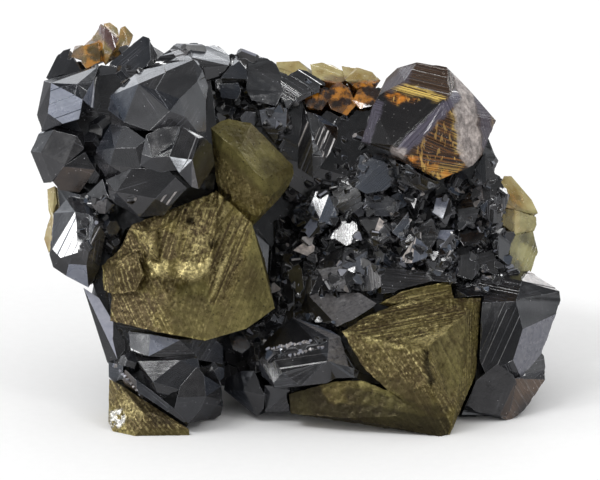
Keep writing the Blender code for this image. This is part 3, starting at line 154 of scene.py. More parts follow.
# Finish of the facet seen at a place, the run of its lines, and spacing, riser and depth of its steps in mm.
BLACK_FACETS = (
    (6.2, 10.2, "sky", (1, -0.35), 1.1, 0.1, 0.1),
    (8.9, 9.9, "light blue", (-0.1, 1), 0.5, 0.12, 0.12),
    (6.7, 8, "grey", (1, 0)),
    (6, 15.5, "matt grey", (1, -0.6)),
    (4, 15.4, "grey", (0.6, 1)),
    (7.6, 15, "matt grey", (1, 0.5)),
    (7, 17.8, "brown", (1, 0.3)),
    (12, 9.2, "blue", (0.2, 1)),
    (11.3, 11.5, "grey", (0.2, 1)),
    (14, 8.5, "dark", (0.7, 1)),
    (16, 8, "dark", (1, -0.2)),
    (18.8, 9, "dark", (-0.5, 1), 3.2, 0.08, 0.1),
    (17.8, 5.7, "light", (1, -0.3), 0.5, 0.12, 0.08),
    (20.5, 6.2, "grey", (1, 0.2), 0.6, 0.1, 0.1),
    (23.5, 5.8, "grey", (1, 0.2), 0.7, 0.1, 0.1),
    (16.5, 14.5, "black", (-0.4, 1)),
    (19, 14, "dark", (-0.35, 1), 0.9, 0.12, 0.1),
    (19.7, 18.2, "light", (1, -0.6)),
    (14.5, 18.6, "dark", (1, -0.3)),
    (17.6, 19.6, "striped", (-0.75, 1), 0.65, 0.16, 0.14),
    (14, 20.6, "matt grey", (1, 0.1)),
    (11.5, 15.5, "dark", (0.3, 1)),
    # The facet with mirror bands is painted a lighter bluish grey: painted reflection.
    (7, 23, "mirror", (-0.5, 1), 1, 0.12, 0.14),
    (9.2, 24, "dark", (-0.5, 1), 0.9, 0.1, 0.08),
    (7.1, 26.8, "light blue", (1, 0)),
    (9.7, 20.5, "light", (1, 0.3)),
    (10.6, 32, "lilac", (0.3, 1)),
    (15.1, 33.8, "light blue", (0.1, 1)),
    (19, 39.6, "matt grey", (-0.4, 1)),
    (17.5, 35.5, "dark", (1, 0), 0.9, 0.1, 0.1),
    (13.2, 38.2, "brown", (0.7, 1), 0.6, 0.1, 0.1),
    (15.5, 40.5, "grey", (0.8, 1)),
    (29.5, 36, "black", (1, -0.15), 0.7, 0.08, 0.1),
    (28.5, 33.5, "dark", (1, -0.2)),
    (30, 37.8, "grey", (1, -0.1)),
    (33.6, 35.6, "light", (1, -0.2), 0.4, 0.08, 0.08),
    (32.4, 33.1, "light", (1, 0.4)),
    (26, 39, "dark", (0.6, 1)),
    (53.8, 28, "white", (1, 0.2), 0.5, 0.1, 0.06),
    (49.5, 31, "dark", (-0.45, 1), 1.3, 0.06, 0.06),
    (50.5, 33, "dark", (-0.45, 1), 1.1, 0.06, 0.06),
    (35.5, 13, "black", (-0.7, 1)),
    (19.3, 10.2, "black", (-0.5, 1)),
    (52.6, 31.5, "dark", (0.1, 1)),
    (53.5, 34.8, "pearl", (-0.5, 1)),
    (49.5, 38.5, "matt grey", (-0.4, 1)),
    (51.5, 38.5, "brown", (-0.5, 1)),
    (52.7, 38.4, "amber brown", (0.6, 1), 0.5, 0.1, 0.1),
    (52.2, 40.2, "amber brown", (0.6, 1), 0.6, 0.1, 0.1),
    (30, 13.5, "striped", (-0.4, 1), 0.6, 0.09, 0.1),
    (30.5, 16.5, "striped", (-0.4, 1), 0.45, 0.1, 0.1),
    (31.2, 15.5, "striped", (-0.4, 1), 0.35, 0.1, 0.1),
    (32, 13.6, "striped", (-0.4, 1), 0.4, 0.1, 0.12),
    (32.9, 13.6, "striped", (-0.4, 1), 0.35, 0.1, 0.12),
    (37.2, 17, "blue", (0.8, -0.7)),
    (31.9, 20.8, "blue", (0.3, 1)),
    (31.2, 22.7, "light blue", (1, 0.4)),
    (37.5, 23, "beige", (1, 0.6)),
    (30.4, 24.8, "beige", (0.6, 1)),
    (41.5, 24, "beige", (-0.35, 1), 0.5, 0.1, 0.1),
    (44, 24, "light blue", (-0.3, 1)),
    (44.4, 25.8, "striped", (-0.55, 1), 0.7, 0.12, 0.1),
    (41.2, 20.1, "light", (1, 0.6)),
    (44.6, 20.9, "light blue", (1, 0.5)),
    (37.4, 27.8, "light", (0.1, 1), 0.35, 0.1, 0.08),
    (36.6, 30.2, "light", (1, -0.5)),
    (33, 27.3, "light", (1, -0.4), 0.35, 0.1, 0.1),
    (48.2, 19.2, "light", (1, 0)),
    (49.5, 20.7, "striped", (0, 1), 0.5, 0.1, 0.12),
)
# Rows of tiny crystals along an edge, painted white as painted glints: start, end, how many, size in mm.
BLACK_ROWS = (
    ((26.9, 34.9), (31.4, 34.1), 17, 0.13),
    ((29, 35.6), (32.5, 34.6), 9, 0.1),
    ((34.6, 33.6), (39.6, 34.8), 8, 0.08),
    ((11.4, 36.4), (15.4, 41), 14, 0.11),
)

FINEST_BRASS = 0.2 * MM
FINEST_CRYSTAL = 0.25 * MM
MARK_SEED = 5
MARK_SOFTNESS = 0.12
MARK_WOBBLE = 0.25
MARK_WOBBLE_RATE = 1.3
LINE_WAVE_RATE = 0.35
RIB_LENGTH = 7
FINE_RIB_LENGTH = 4
RIB_SHADE = 7
CALM_RIBS = 0.12
BRASS_GRAIN = 0.5
BLOCK_FACING = 0.15

# Run of the ribs at a place of the chalcopyrite, with rib height, rib pitch and roughness in mm.
LEFT_RIBS = (
    (23, 27, (-0.42, 1), 0.2, 0.75, 0.05),
    (18, 24, (-0.3, 1), 0.22, 0.8, 0.16),
    (20.5, 21, (-0.3, 1), 0.2, 0.7, 0.12),
    (14.5, 24.5, (0.8, 1), 0.14, 0.5, 0.08),
    (12, 26.5, (0.2, 1), 0.1, 0.6, 0.14),
    (15, 31, (0.5, 1), 0.1, 0.6, 0.12),
    (26.5, 15, (0.6, 1), 0.03, 0.9, 0.04),
    (23, 17.2, (0.2, 1), 0.07, 0.35, 0.04),
    (23.2, 13.2, (0.6, 1), 0.03, 0.8, 0.07),
)
RIGHT_RIBS = (
    (41, 31.5, (1, -0.2), 0.12, 0.45, 0.06),
    (38, 33.5, (1, -0.2), 0.12, 0.45, 0.06),
    (37.5, 36, (0.7, 1), 0.05, 0.5, 0.12),
    (44.5, 35, (0.55, 1), 0.12, 0.55, 0.08),
    (47.3, 34, (0, 1), 0.08, 0.4, 0.05),
    (34, 39.8, (1, 0.2), 0.02, 0.9, 0.1),
)
FOOT_RIBS = (
    (11.6, 42, (0.5, 1), 0.02, 0.5, 0.03),
    (14, 40.5, (0.8, 1), 0.06, 0.5, 0.05),
)
# Raised blocks: height, and the corners of the outline in the front view, in mm.
LEFT_BLOCKS = (
    (0.32, (14.8, 26.4), (16, 27.6), (19, 28.1), (20.6, 27.6), (21.3, 26.2), (21.4, 23.6), (23.4, 20.6),
     (21.8, 19.2), (19, 19.4), (17.4, 22), (15, 23.4)),
    (0.12, (15.6, 26.3), (17.2, 26.1), (17.4, 27.6), (15.8, 27.5)),
    (0.14, (17.8, 25.9), (20.2, 25.6), (20.6, 27.4), (18.4, 27.8)),
    (0.25, (13, 22.9), (15.8, 23.1), (15.8, 26), (15, 25.8)),
    (0.2, (11, 26), (13.2, 25.2), (13.8, 28.2), (11.4, 28.4)),
)
RIGHT_BLOCKS = (
    (-0.4, (42.1, 35), (42.9, 35.1), (43.6, 38.4), (43, 39), (42.4, 37)),
    (-0.2, (44, 36.6), (44.6, 36.4), (45.6, 39.6), (45, 39.8)),
)
# Pits: across, down, radius and depth in mm.
LEFT_PITS = (
    (19, 22, 0.32, 0.5), (22.7, 19.8, 0.32, 0.5), (15.7, 25.5, 0.18, 0.3), (21.3, 24.5, 0.4, 0.35),
    (17, 30, 0.2, 0.2), (14, 29.6, 0.25, 0.25), (26.2, 24, 0.2, 0.2), (23, 14, 0.3, 0.2),
)
RIGHT_PITS = (
    (36.6, 36.1, 0.25, 0.3), (45.1, 32.9, 0.25, 0.3), (38.4, 38, 0.2, 0.25), (40.2, 37.2, 0.2, 0.2),
    (43.4, 33, 0.2, 0.2), (40.5, 36.3, 0.18, 0.2),
)
# The golden glint marks paint golden highlights, the mirror mark a white reflection spot, and the dark marks
# paint shade in pits and over the right piece's base lump and sunk groove.
BRASS_MARKS = ("brown", "green", "gold", "dark", "mirror", "ribbed")
# Marks: which one, how strong, and the corners of its outline in the front view in mm.
LEFT_MARKS = (
    ("ribbed", 1, (22.4, 22.6), (25, 21.2), (24.9, 24), (22.6, 30.4), (20.8, 30.2), (20.9, 26.8)),
    ("ribbed", 0.9, (17.4, 20.4), (21, 18.6), (23, 18.6), (22.6, 22.4), (20.4, 26.4), (17.6, 26.2)),
    ("ribbed", 0.9, (13.2, 22.8), (15.9, 22.8), (15.9, 26.2), (14.8, 26)),
    ("ribbed", 0.5, (22, 16.4), (23.2, 16.6), (26.2, 19.4), (25.4, 21.2), (22, 19)),
    ("ribbed", 0.5, (15.2, 28.6), (17.6, 28.2), (17.6, 31), (15.8, 31)),
    ("brown", 0.75, (9.8, 22.6), (13, 22.4), (14.4, 26), (14.2, 29), (10.6, 29.4)),
    ("brown", 0.9, (11, 29), (14.8, 29.2), (15.4, 33.4), (11.2, 33)),
    ("brown", 0.4, (15, 29.4), (20.4, 29.4), (22, 33.8), (15.4, 33.6)),
    ("brown", 0.5, (14.2, 27.6), (17.6, 27.9), (17.2, 29.6), (15, 29.8)),
    ("brown", 0.6, (11, 19.6), (19, 18.6), (18.4, 21.4), (15.4, 22.6), (12, 23)),
    ("brown", 0.9, (16.2, 23.2), (17.5, 23.4), (17.7, 25.8), (16.9, 26.2), (16, 25.6)),
    ("gold", 1, (14.8, 26.1), (16.7, 26), (16.7, 27.6), (14.9, 27.6)),
    ("gold", 1, (17.7, 26.6), (18.6, 25.8), (20.2, 25.4), (21.4, 26), (21.2, 27.2), (19.4, 28.1), (17.8, 27.6)),
    ("gold", 0.8, (18.6, 23), (20.6, 19), (22.4, 18.8), (22.4, 21.4), (20.4, 25.4), (19, 25.8)),
    ("gold", 0.6, (23.4, 22.8), (24.6, 22.4), (22.2, 29.6), (21, 29.4)),
    ("gold", 0.85, (13.3, 22.9), (15.2, 23.1), (15.6, 25.6), (14.6, 25.4)),
    ("green", 1, (21, 11.4), (29.8, 11), (29.8, 19.6), (26.2, 19.6), (21.4, 15)),
    ("green", 0.8, (25.2, 21.6), (28, 22), (28, 33.6), (17.6, 34), (16.8, 30.6), (18.2, 28.4), (20.8, 28),
     (20.9, 30.4), (22.8, 30.6), (25.2, 24.2)),
    ("brown", 0.45, (20.6, 14.8), (22.4, 15), (26.4, 19.2), (25.6, 21), (21.6, 18.8)),
    # These dark marks over three pits paint the shade in them.
    ("dark", 0.9, (18.7, 21.7), (19.3, 21.7), (19.3, 22.3), (18.7, 22.3)),
    ("dark", 0.9, (22.4, 19.5), (23, 19.5), (23, 20.1), (22.4, 20.1)),
    ("dark", 0.7, (20.9, 24.2), (21.7, 24), (21.7, 24.8), (21, 24.9)),
)
RIGHT_MARKS = (
    ("ribbed", 1, (34.4, 32.8), (40, 29), (46.8, 29), (46.8, 31.4), (40, 34.6)),
    ("ribbed", 0.6, (42.6, 35), (47.8, 30.8), (47.8, 36.4), (44.8, 41), (43.4, 39)),
    ("gold", 0.8, (34, 32.8), (39.8, 34.2), (42.6, 34.8), (42.4, 35.3), (39.4, 34.8), (34, 33.4)),
    ("gold", 0.9, (35.2, 32.6), (41, 29.6), (47, 29.4), (46.8, 31.2), (42.9, 34.6), (37.4, 33.7)),
    ("green", 0.7, (42.8, 34.6), (46.9, 31), (46.8, 35), (46, 38.4), (45, 39.6)),
    ("green", 0.9, (28.6, 37.6), (40.2, 37.8), (44, 40.6), (44, 44), (28.6, 42.4)),
    # The dark marks over the base lump and its sunk groove paint their shadow.
    ("dark", 0.85, (28.6, 38), (32, 38.6), (33, 40.4), (37, 40.4), (45, 42), (45, 44.4), (28.6, 43.4)),
    ("dark", 0.55, (34.6, 38.6), (41, 40), (43.6, 42), (37, 42), (34.6, 40.6)),
    ("brown", 0.6, (34.2, 33.6), (39.4, 35), (42.2, 35.4), (43.2, 41.6), (37, 38)),
    ("dark", 0.85, (42.1, 35), (42.9, 35.1), (43.7, 38.4), (43, 39), (42.3, 37)),
    ("dark", 0.5, (40, 40.4), (45, 40.6), (44, 44), (40, 43)),
)
FOOT_MARKS = (
    ("brown", 0.7, (10.6, 37.4), (19, 40), (19, 42.9), (12.4, 43), (13, 41), (11, 40.6)),
    # The mirror mark paints a white reflection spot on the foot.
    ("mirror", 1, (11.1, 41.2), (12.1, 40.9), (12.6, 41.8), (12, 42.7), (11.1, 42.7)),
    ("gold", 0.5, (11.6, 39.6), (12.6, 39.2), (14.6, 41.6), (13.2, 42.2)),
    ("dark", 0.6, (10.6, 37.4), (13, 37.8), (17.6, 42.4), (15.6, 42.6)),
    ("green", 0.6, (10.8, 43.2), (19, 42.8), (19, 44.2), (10.8, 44.2)),
)
# Run of the lines of an amber facet seen at a place, how ribbed it is, and its steps as above.
AMBER_FACETS = (
    (39, 11, (1, 0.3), 0.12),
    (42, 8, (1, 0.25), 0.3, 0.7, 0.08, 0.05),
    (43.8, 13.5, (1, 0.4), 0.8, 0.8, 0.12, 0.16),
    (42, 13, (-0.55, 0.58), 0.5, 0.8, 0.1, 0.1),
    (48, 12, (0.3, 1), 0),
    (37.4, 12, (-0.3, 1), 0.2),
    (43, 16.5, (1, 0.15), 0.7, 0.6, 0.1, 0.1),
    (45.3, 9.6, (0.6, 1), 0.1),
)
AMBER_MARK_NAMES = ("orange", "gold", "violet", "frost", "black")
# The golden glint marks paint golden glints; inside the orange marks a brighter orange glow is painted over the
# face's own rust colour.
AMBER_MARKS = (
    ("black", 1, (36, 8.6), (44.2, 10), (45.4, 9.8), (40.6, 14.2), (38.6, 16), (35.8, 14.6)),
    ("gold", 1, (39.1, 8.9), (40.4, 8.3), (42.4, 8.9), (44.9, 9.8), (43.8, 10.2), (41, 9.4)),
    ("orange", 1, (38.5, 9.2), (39.8, 9.2), (42, 10), (39.8, 10.5), (38.7, 10.2)),
    ("orange", 0.55, (42.4, 13.4), (45.2, 10.2), (46.2, 15.8), (43.4, 16.2), (41.4, 15.4)),
    ("gold", 0.5, (45, 11), (45.6, 11), (46.4, 15.4), (45.6, 15.4)),
    ("orange", 1, (40.2, 15.4), (43.4, 15.6), (47.2, 15.2), (46, 18), (43, 18.2)),
    ("gold", 0.3, (42, 16.6), (46.6, 16.2), (45.6, 17.8), (43, 18)),
    ("violet", 1, (45.6, 9), (46.2, 9.8), (42.6, 13.6), (40.4, 15.6), (39.4, 15.2), (40.4, 14)),
    ("violet", 0.8, (37.5, 9.9), (38.4, 10.2), (37, 14.5), (36.1, 14.1)),
    ("violet", 0.55, (38, 8.8), (41.2, 6), (41, 8.2), (39.2, 9.2)),
    ("frost", 1, (45.4, 7.6), (46.8, 8), (47.3, 9.4), (47.6, 11.4), (48.2, 14.8), (47.2, 17.2),
     (45.9, 15.4), (45.3, 11), (46.2, 9.8)),
    ("frost", 0.9, (39.3, 14.6), (40.6, 15), (40.4, 15.9), (39, 15.4)),
    ("violet", 0.7, (47, 8.8), (50, 12.4), (48.3, 15.2), (47.8, 11.4)),
    ("gold", 0.8, (49, 11.4), (49.9, 12.4), (49.6, 13.2), (49.2, 12.6)),
)
HONEY_MARK_NAMES = ("amber", "green", "mauve", "black")
TIP_MARKS = (
    ("amber", 0.45, (5, 1.5), (14.5, 1.5), (14.5, 7.5), (5, 7.5)),
    ("mauve", 1, (10, 2.2), (11.9, 4), (11.3, 5.4), (10.2, 3.9), (9.6, 2.8)),
    ("amber", 0.8, (8.3, 4.2), (10.2, 3.8), (10.6, 6.9), (8.6, 7)),
    ("mauve", 0.6, (6.8, 4.6), (8.3, 4.4), (8.5, 6.4), (7, 6.4)),
    ("amber", 0.5, (11.2, 4.8), (13.4, 4.6), (13.4, 6.6), (11.4, 6.4)),
)
TOP_MARKS = (
    ("amber", 1, (29, 8.3), (38.5, 8), (38.5, 12.4), (29, 12.4)),
    ("black", 0.7, (29.8, 10.4), (33, 9.9), (34.8, 10.6), (34, 11.8), (30, 11.8)),
    ("mauve", 0.5, (32.4, 7.6), (34.6, 7.6), (34.6, 8.6), (32.4, 8.6)),
)
RIGHT_RIM_MARKS = (
    ("black", 0.6, (50.4, 20.8), (51.4, 20.8), (51.4, 23.4), (50.4, 23.4)),
    ("green", 0.7, (51.9, 21), (54, 21), (54, 23), (52, 23)),
    ("green", 0.9, (50.8, 23.2), (54.2, 23), (54.2, 27.6), (50.8, 27.6)),
    ("amber", 0.35, (50.2, 19.4), (52.2, 19.4), (52.2, 21), (50.2, 20.8)),
)


def seen(across, down, out):
    """The place in metres of a point of the front view, out toward the eye in millimetres."""
    nearness = 1 - out / EYE_DISTANCE
    side = (across - VIEW_CENTRE_ACROSS) * nearness
    rise = (VIEW_CENTRE_DOWN - down) * nearness
    return (side * RIGHT + rise * UPWARD + out * TOWARD_EYE + VIEW_CENTRE) * MM


def front_view(place):
    """(across, down, out) in millimetres of a place in metres."""
    rest = place / MM - VIEW_CENTRE
    out = rest.dot(TOWARD_EYE)
    nearness = 1 - out / EYE_DISTANCE
    across = VIEW_CENTRE_ACROSS + rest.dot(RIGHT) / nearness
    down = VIEW_CENTRE_DOWN - rest.dot(UPWARD) / nearness
    return across, down, out


def facet_shape(node_name):
    """The node's facets as flat faces with many sides, each with a number of its own."""
    shape = bmesh.new()
    shape.from_mesh(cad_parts[node_name].data)
    bmesh.ops.remove_doubles(shape, verts=shape.verts, dist=WELD)
    bmesh.ops.dissolve_limit(shape, angle_limit=FLUSH, verts=shape.verts, edges=shape.edges)
    number = shape.faces.layers.int.new("facet")
    for index, face in enumerate(shape.faces):
        face[number] = index
    shape.faces.ensure_lookup_table()
    return shape


def hit_seen(tree, across, down):
    """What the front view shows at a place: its place in metres, normal, facet number and distance."""
    return tree.ray_cast(EYE, (seen(across, down, 0) - EYE).normalized())


def facet_seen(tree, across, down):
    """The number of the facet that the front view shows at a place, or None."""
    return hit_seen(tree, across, down)[2]


def inside(outline, across, down):
    """How far a place of the front view is inside an outline, in mm, negative outside it."""
    crossings = False
    nearest = math.inf
    before = outline[-1]
    for corner in outline:
        x0, y0 = before
        x1, y1 = corner
        if (y0 > down) != (y1 > down) and across < (x1 - x0) * (down - y0) / (y1 - y0) + x0:
            crossings = not crossings
        span = (x1 - x0) ** 2 + (y1 - y0) ** 2
        share = max(0.0, min(1.0, ((across - x0) * (x1 - x0) + (down - y0) * (y1 - y0)) / span))
        gap = math.hypot(across - x0 - share * (x1 - x0), down - y0 - share * (y1 - y0))
        nearest = min(nearest, gap)
        before = corner
    return nearest if crossings else -nearest


def soft_inside(outline, across, down, softness):
    """0 outside an outline and 1 inside it, with a soft border."""
    lefts = [corner[0] for corner in outline]
    tops = [corner[1] for corner in outline]
    if not min(lefts) - softness < across < max(lefts) + softness:
        return 0.0
    if not min(tops) - softness < down < max(tops) + softness:
        return 0.0
    return max(0.0, min(1.0, 0.5 + inside(outline, across, down) / (2 * softness)))


def lines_across(normal, run):
    """The direction in a facet's plane that crosses lines which the front view shows with a given run."""
    flat = run[0] * RIGHT - run[1] * UPWARD
    facing = normal.dot(TOWARD_EYE)
    if abs(facing) < EDGE_ON:
        facing = EDGE_ON
    along = flat - TOWARD_EYE * (flat.dot(normal) / facing)
    return along.cross(normal).normalized()


def longest_edge_direction(face):
    edge = max(face.edges, key=lambda edge: edge.calc_length())
    return (edge.verts[1].co - edge.verts[0].co).normalized()


def clear_of_corners(faces, direction, place):
    """The place of a cut, shifted a little where it would run through a corner."""
    reach = [corner.co.dot(direction) for face in faces for corner in face.verts]
    while any(abs(value - place) < CUT_CLEARANCE for value in reach):
        place += CUT_CLEARANCE
    return place


def split_face(face, direction, place):
    """The parts of a face with many sides, split where a plane crosses it."""
    distances = [corner.co.dot(direction) - place for corner in face.verts]
    if min(distances) > 0 or max(distances) < 0:
        return [face]
    crossings = []
    for edge in list(face.edges):
        first, second = edge.verts
        before = first.co.dot(direction) - place
        after = second.co.dot(direction) - place
        if before * after < 0:
            crossings.append(bmesh.utils.edge_split(edge, first, before / (before - after))[1])
    along = direction.cross(face.normal)
    crossings.sort(key=lambda corner: corner.co.dot(along))
    parts = [face]
    for first, second in zip(crossings[::2], crossings[1::2]):
        for part in parts:
            if first in part.verts and second in part.verts:
                made = bmesh.utils.face_split(part, first, second)
                if made and made[0]:
                    parts.append(made[0])
                break
    return parts


def cut_steps(face, direction, chance, spacing, riser, depth):
    """Parallel growth steps across one facet: strips at their own depths with narrow risers between them.
    Gives the faces of the risers."""
    normal = face.normal.copy()
    reach = [corner.co.dot(direction) for corner in face.verts]
    low, high = min(reach), max(reach)
    if high - low < STEP_FACET_WIDTH:
        return []
    spacing = max(spacing, (high - low) / MOST_STEPS)
    parts = [face]
    risers = []
    place = low + spacing * chance.uniform(*FIRST_STEP_PLACES)
    while place < high - spacing * 0.5:
        lower = clear_of_corners(parts, direction, place)
        parts = [part for whole in parts for part in split_face(whole, direction, lower)]
        upper = clear_of_corners(parts, direction, lower + riser)
        parts = [part for whole in parts for part in split_face(whole, direction, upper)]
        risers.append((lower + upper) / 2)
        place = upper + spacing * chance.uniform(*STEP_PLACES)
    levels = [0.0]
    for _ in risers:
        levels.append(chance.choice([level * depth for level in STEP_LEVELS if level * depth != levels[-1]]))
    middles = {part: part.calc_center_bounds().dot(direction) for part in parts}
    steep = [part for part in parts if any(abs(middles[part] - place) < riser * 0.3 for place in risers)]
    for corner in {corner for part in parts for corner in part.verts}:
        past = sum(1 for place in risers if corner.co.dot(direction) > place)
        corner.co -= normal * levels[past]
    return steep


def habit_corners():
    """The corners of a sphalerite crystal of unit size: a tetrahedron cut by its opposite and a cube."""
    planes = []
    for x, y, z in itertools.product((-1, 1), repeat=3):
        distance = 1.0 if x * y * z > 0 else HABIT_OPPOSITE_DISTANCE
        planes.append((Vector((x, y, z)).normalized(), distance))
    for axis, side in itertools.product(range(3), (-1, 1)):
        normal = Vector((0, 0, 0))
        normal[axis] = side
        planes.append((normal, HABIT_CUBE_DISTANCE))
    corners = []
    for trio in itertools.combinations(planes, 3):
        rows = Matrix([normal for normal, _ in trio])
        if abs(rows.determinant()) < HABIT_PARALLEL_LIMIT:
            continue
        corner = rows.inverted() @ Vector([distance for _, distance in trio])
        if all(normal.dot(corner) < distance + HABIT_TOLERANCE for normal, distance in planes):
            if all((corner - other).length > HABIT_PARALLEL_LIMIT for other in corners):
                corners.append(corner)
    return corners


def habit_faces():
    """The sides of the sphalerite crystal of unit size, as lists of corner numbers."""
    shape = bmesh.new()
    corners = [shape.verts.new(corner) for corner in HABIT]
    bmesh.ops.convex_hull(shape, input=corners)
    bmesh.ops.recalc_face_normals(shape, faces=shape.faces)
    bmesh.ops.dissolve_limit(shape, angle_limit=FLUSH, verts=shape.verts, edges=shape.edges)
    shape.verts.index_update()
    sides = [[corner.index for corner in face.verts] for face in shape.faces]
    shape.free()
    return sides


def add_crystal(shape, middle, size, turn, stretch):
    """One small crystal of the sphalerite habit, its facets numbered on from the last. Gives their numbers."""
    number = shape.faces.layers.int["facet"]
    matrix = Matrix.Translation(middle) @ turn.to_matrix().to_4x4() @ Matrix.Diagonal((*stretch, 1))
    corners = [shape.verts.new(matrix @ (corner * size)) for corner in HABIT]
    made = []
    for side in HABIT_SIDES:
        face = shape.faces.new([corners[index] for index in side])
        face[number] = FIRST_SMALL_FACET + len(shape.faces)
        made.append(face[number])
    return made


HABIT = habit_corners()
HABIT_SIDES = habit_faces()


def cavity(tree, place, normal, reach):
    """The share of the directions out of a place that meet the specimen again within the reach."""
    hits = 0
    for turn in range(CAVITY_RAYS):
        side = normal.orthogonal().normalized()
        side = (Matrix.Rotation(turn * math.tau / CAVITY_RAYS, 3, normal) @ side).normalized()
        direction = (normal + side * CAVITY_SPREAD).normalized()
        if tree.ray_cast(place + normal * RAY_START, direction, reach)[0] is not None:
            hits += 1
    return hits / CAVITY_RAYS


def random_place(face, chance):
    """A random place on a face with many sides."""
    corners = [corner.co for corner in face.verts]
    fans = [(corners[0], corners[i], corners[i + 1]) for i in range(1, len(corners) - 1)]
    areas = [(b - a).cross(c - a).length for a, b, c in fans]
    a, b, c = chance.choices(fans, weights=areas)[0]
    u, v = chance.random(), chance.random()
    if u + v > 1:
        u, v = 1 - u, 1 - v
    return a + (b - a) * u + (c - a) * v


def fits_box(middle, reach):
    """Whether a small crystal stays inside the CAD model's box and above the floor."""
    low, high = cad_box
    return all(low[k] + reach + BOX_MARGIN < middle[k] < high[k] - reach - BOX_MARGIN for k in range(3))


def refine(shape, finest):
    """Triangles with no edge much longer than a length, by halving the long edges."""
    bmesh.ops.triangulate(shape, faces=shape.faces)
    while True:
        long = [edge for edge in shape.edges if edge.calc_length() > finest * 1.5]
        if not long:
            return
        long.sort(key=lambda edge: -edge.calc_length())
        for edge in long:
            middle = bmesh.utils.edge_split(edge, edge.verts[0], 0.5)[1]
            for loop in list(middle.link_loops):
                bmesh.utils.face_split(loop.face, middle, loop.link_loop_next.link_loop_next.vert)


def piece_from(shape, name, node_name, look):
    """A finished piece on the body, standing for its CAD node."""
    for corner in shape.verts:
        corner.co.z = max(corner.co.z, 0.0)
    bmesh.ops.triangulate(shape, faces=shape.faces)
    mesh = bpy.data.meshes.new(name)
    shape.to_mesh(mesh)
    shape.free()
    mesh.materials.append(look)
    piece = bpy.data.objects.new(name, mesh)
    bpy.context.scene.collection.objects.link(piece)
    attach(piece, "root")
    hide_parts(node_name)
    return mesh


def facets_of(mesh):
    """The number of the facet that each face of a mesh belongs to."""
    facets = [0] * len(mesh.polygons)
    mesh.attributes["facet"].data.foreach_get("value", facets)
    return facets


def write_facts(mesh, facts, names):
    """Gives each face the line direction and the named values of its facet, for the material to read."""
    facets = facets_of(mesh)
    lines = mesh.attributes.new("lines", "FLOAT_VECTOR", "FACE")
    lines.data.foreach_set("vector", [x for facet in facets for x in facts[facet]["lines"]])
    for name in names:
        values = [facts[facet][name] for facet in facets]
        mesh.attributes.new(name, "FLOAT", "FACE").data.foreach_set("value", values)


def write_marks(mesh, values):
    """Gives each corner point its share of each mark, for the material to read."""
    for name, shares in values.items():
        mesh.attributes.new(name, "FLOAT", "POINT").data.foreach_set("value", shares)


def faces_away(corner):
    """Whether every side that meets at a corner point is turned away from the eye."""
    return max(face.normal.dot(TOWARD_EYE) for face in corner.link_faces) < GRAZING


def mark_values(shape, names, marks):
    """For each corner point, how strongly each mark shows there, on the sides that face the eye."""
    values = {name: [0.0] * len(shape.verts) for name in names}
    for index, corner in enumerate(shape.verts):
        if faces_away(corner):
            continue
        across, down, _ = front_view(corner.co)
        wobble = noise.noise_vector(corner.co / MM * MARK_WOBBLE_RATE) * MARK_WOBBLE
        for name, strength, *outline in marks:
            share = soft_inside(outline, across + wobble.x, down + wobble.y, MARK_SOFTNESS)
            values[name][index] = max(values[name][index], share * strength)
    return values


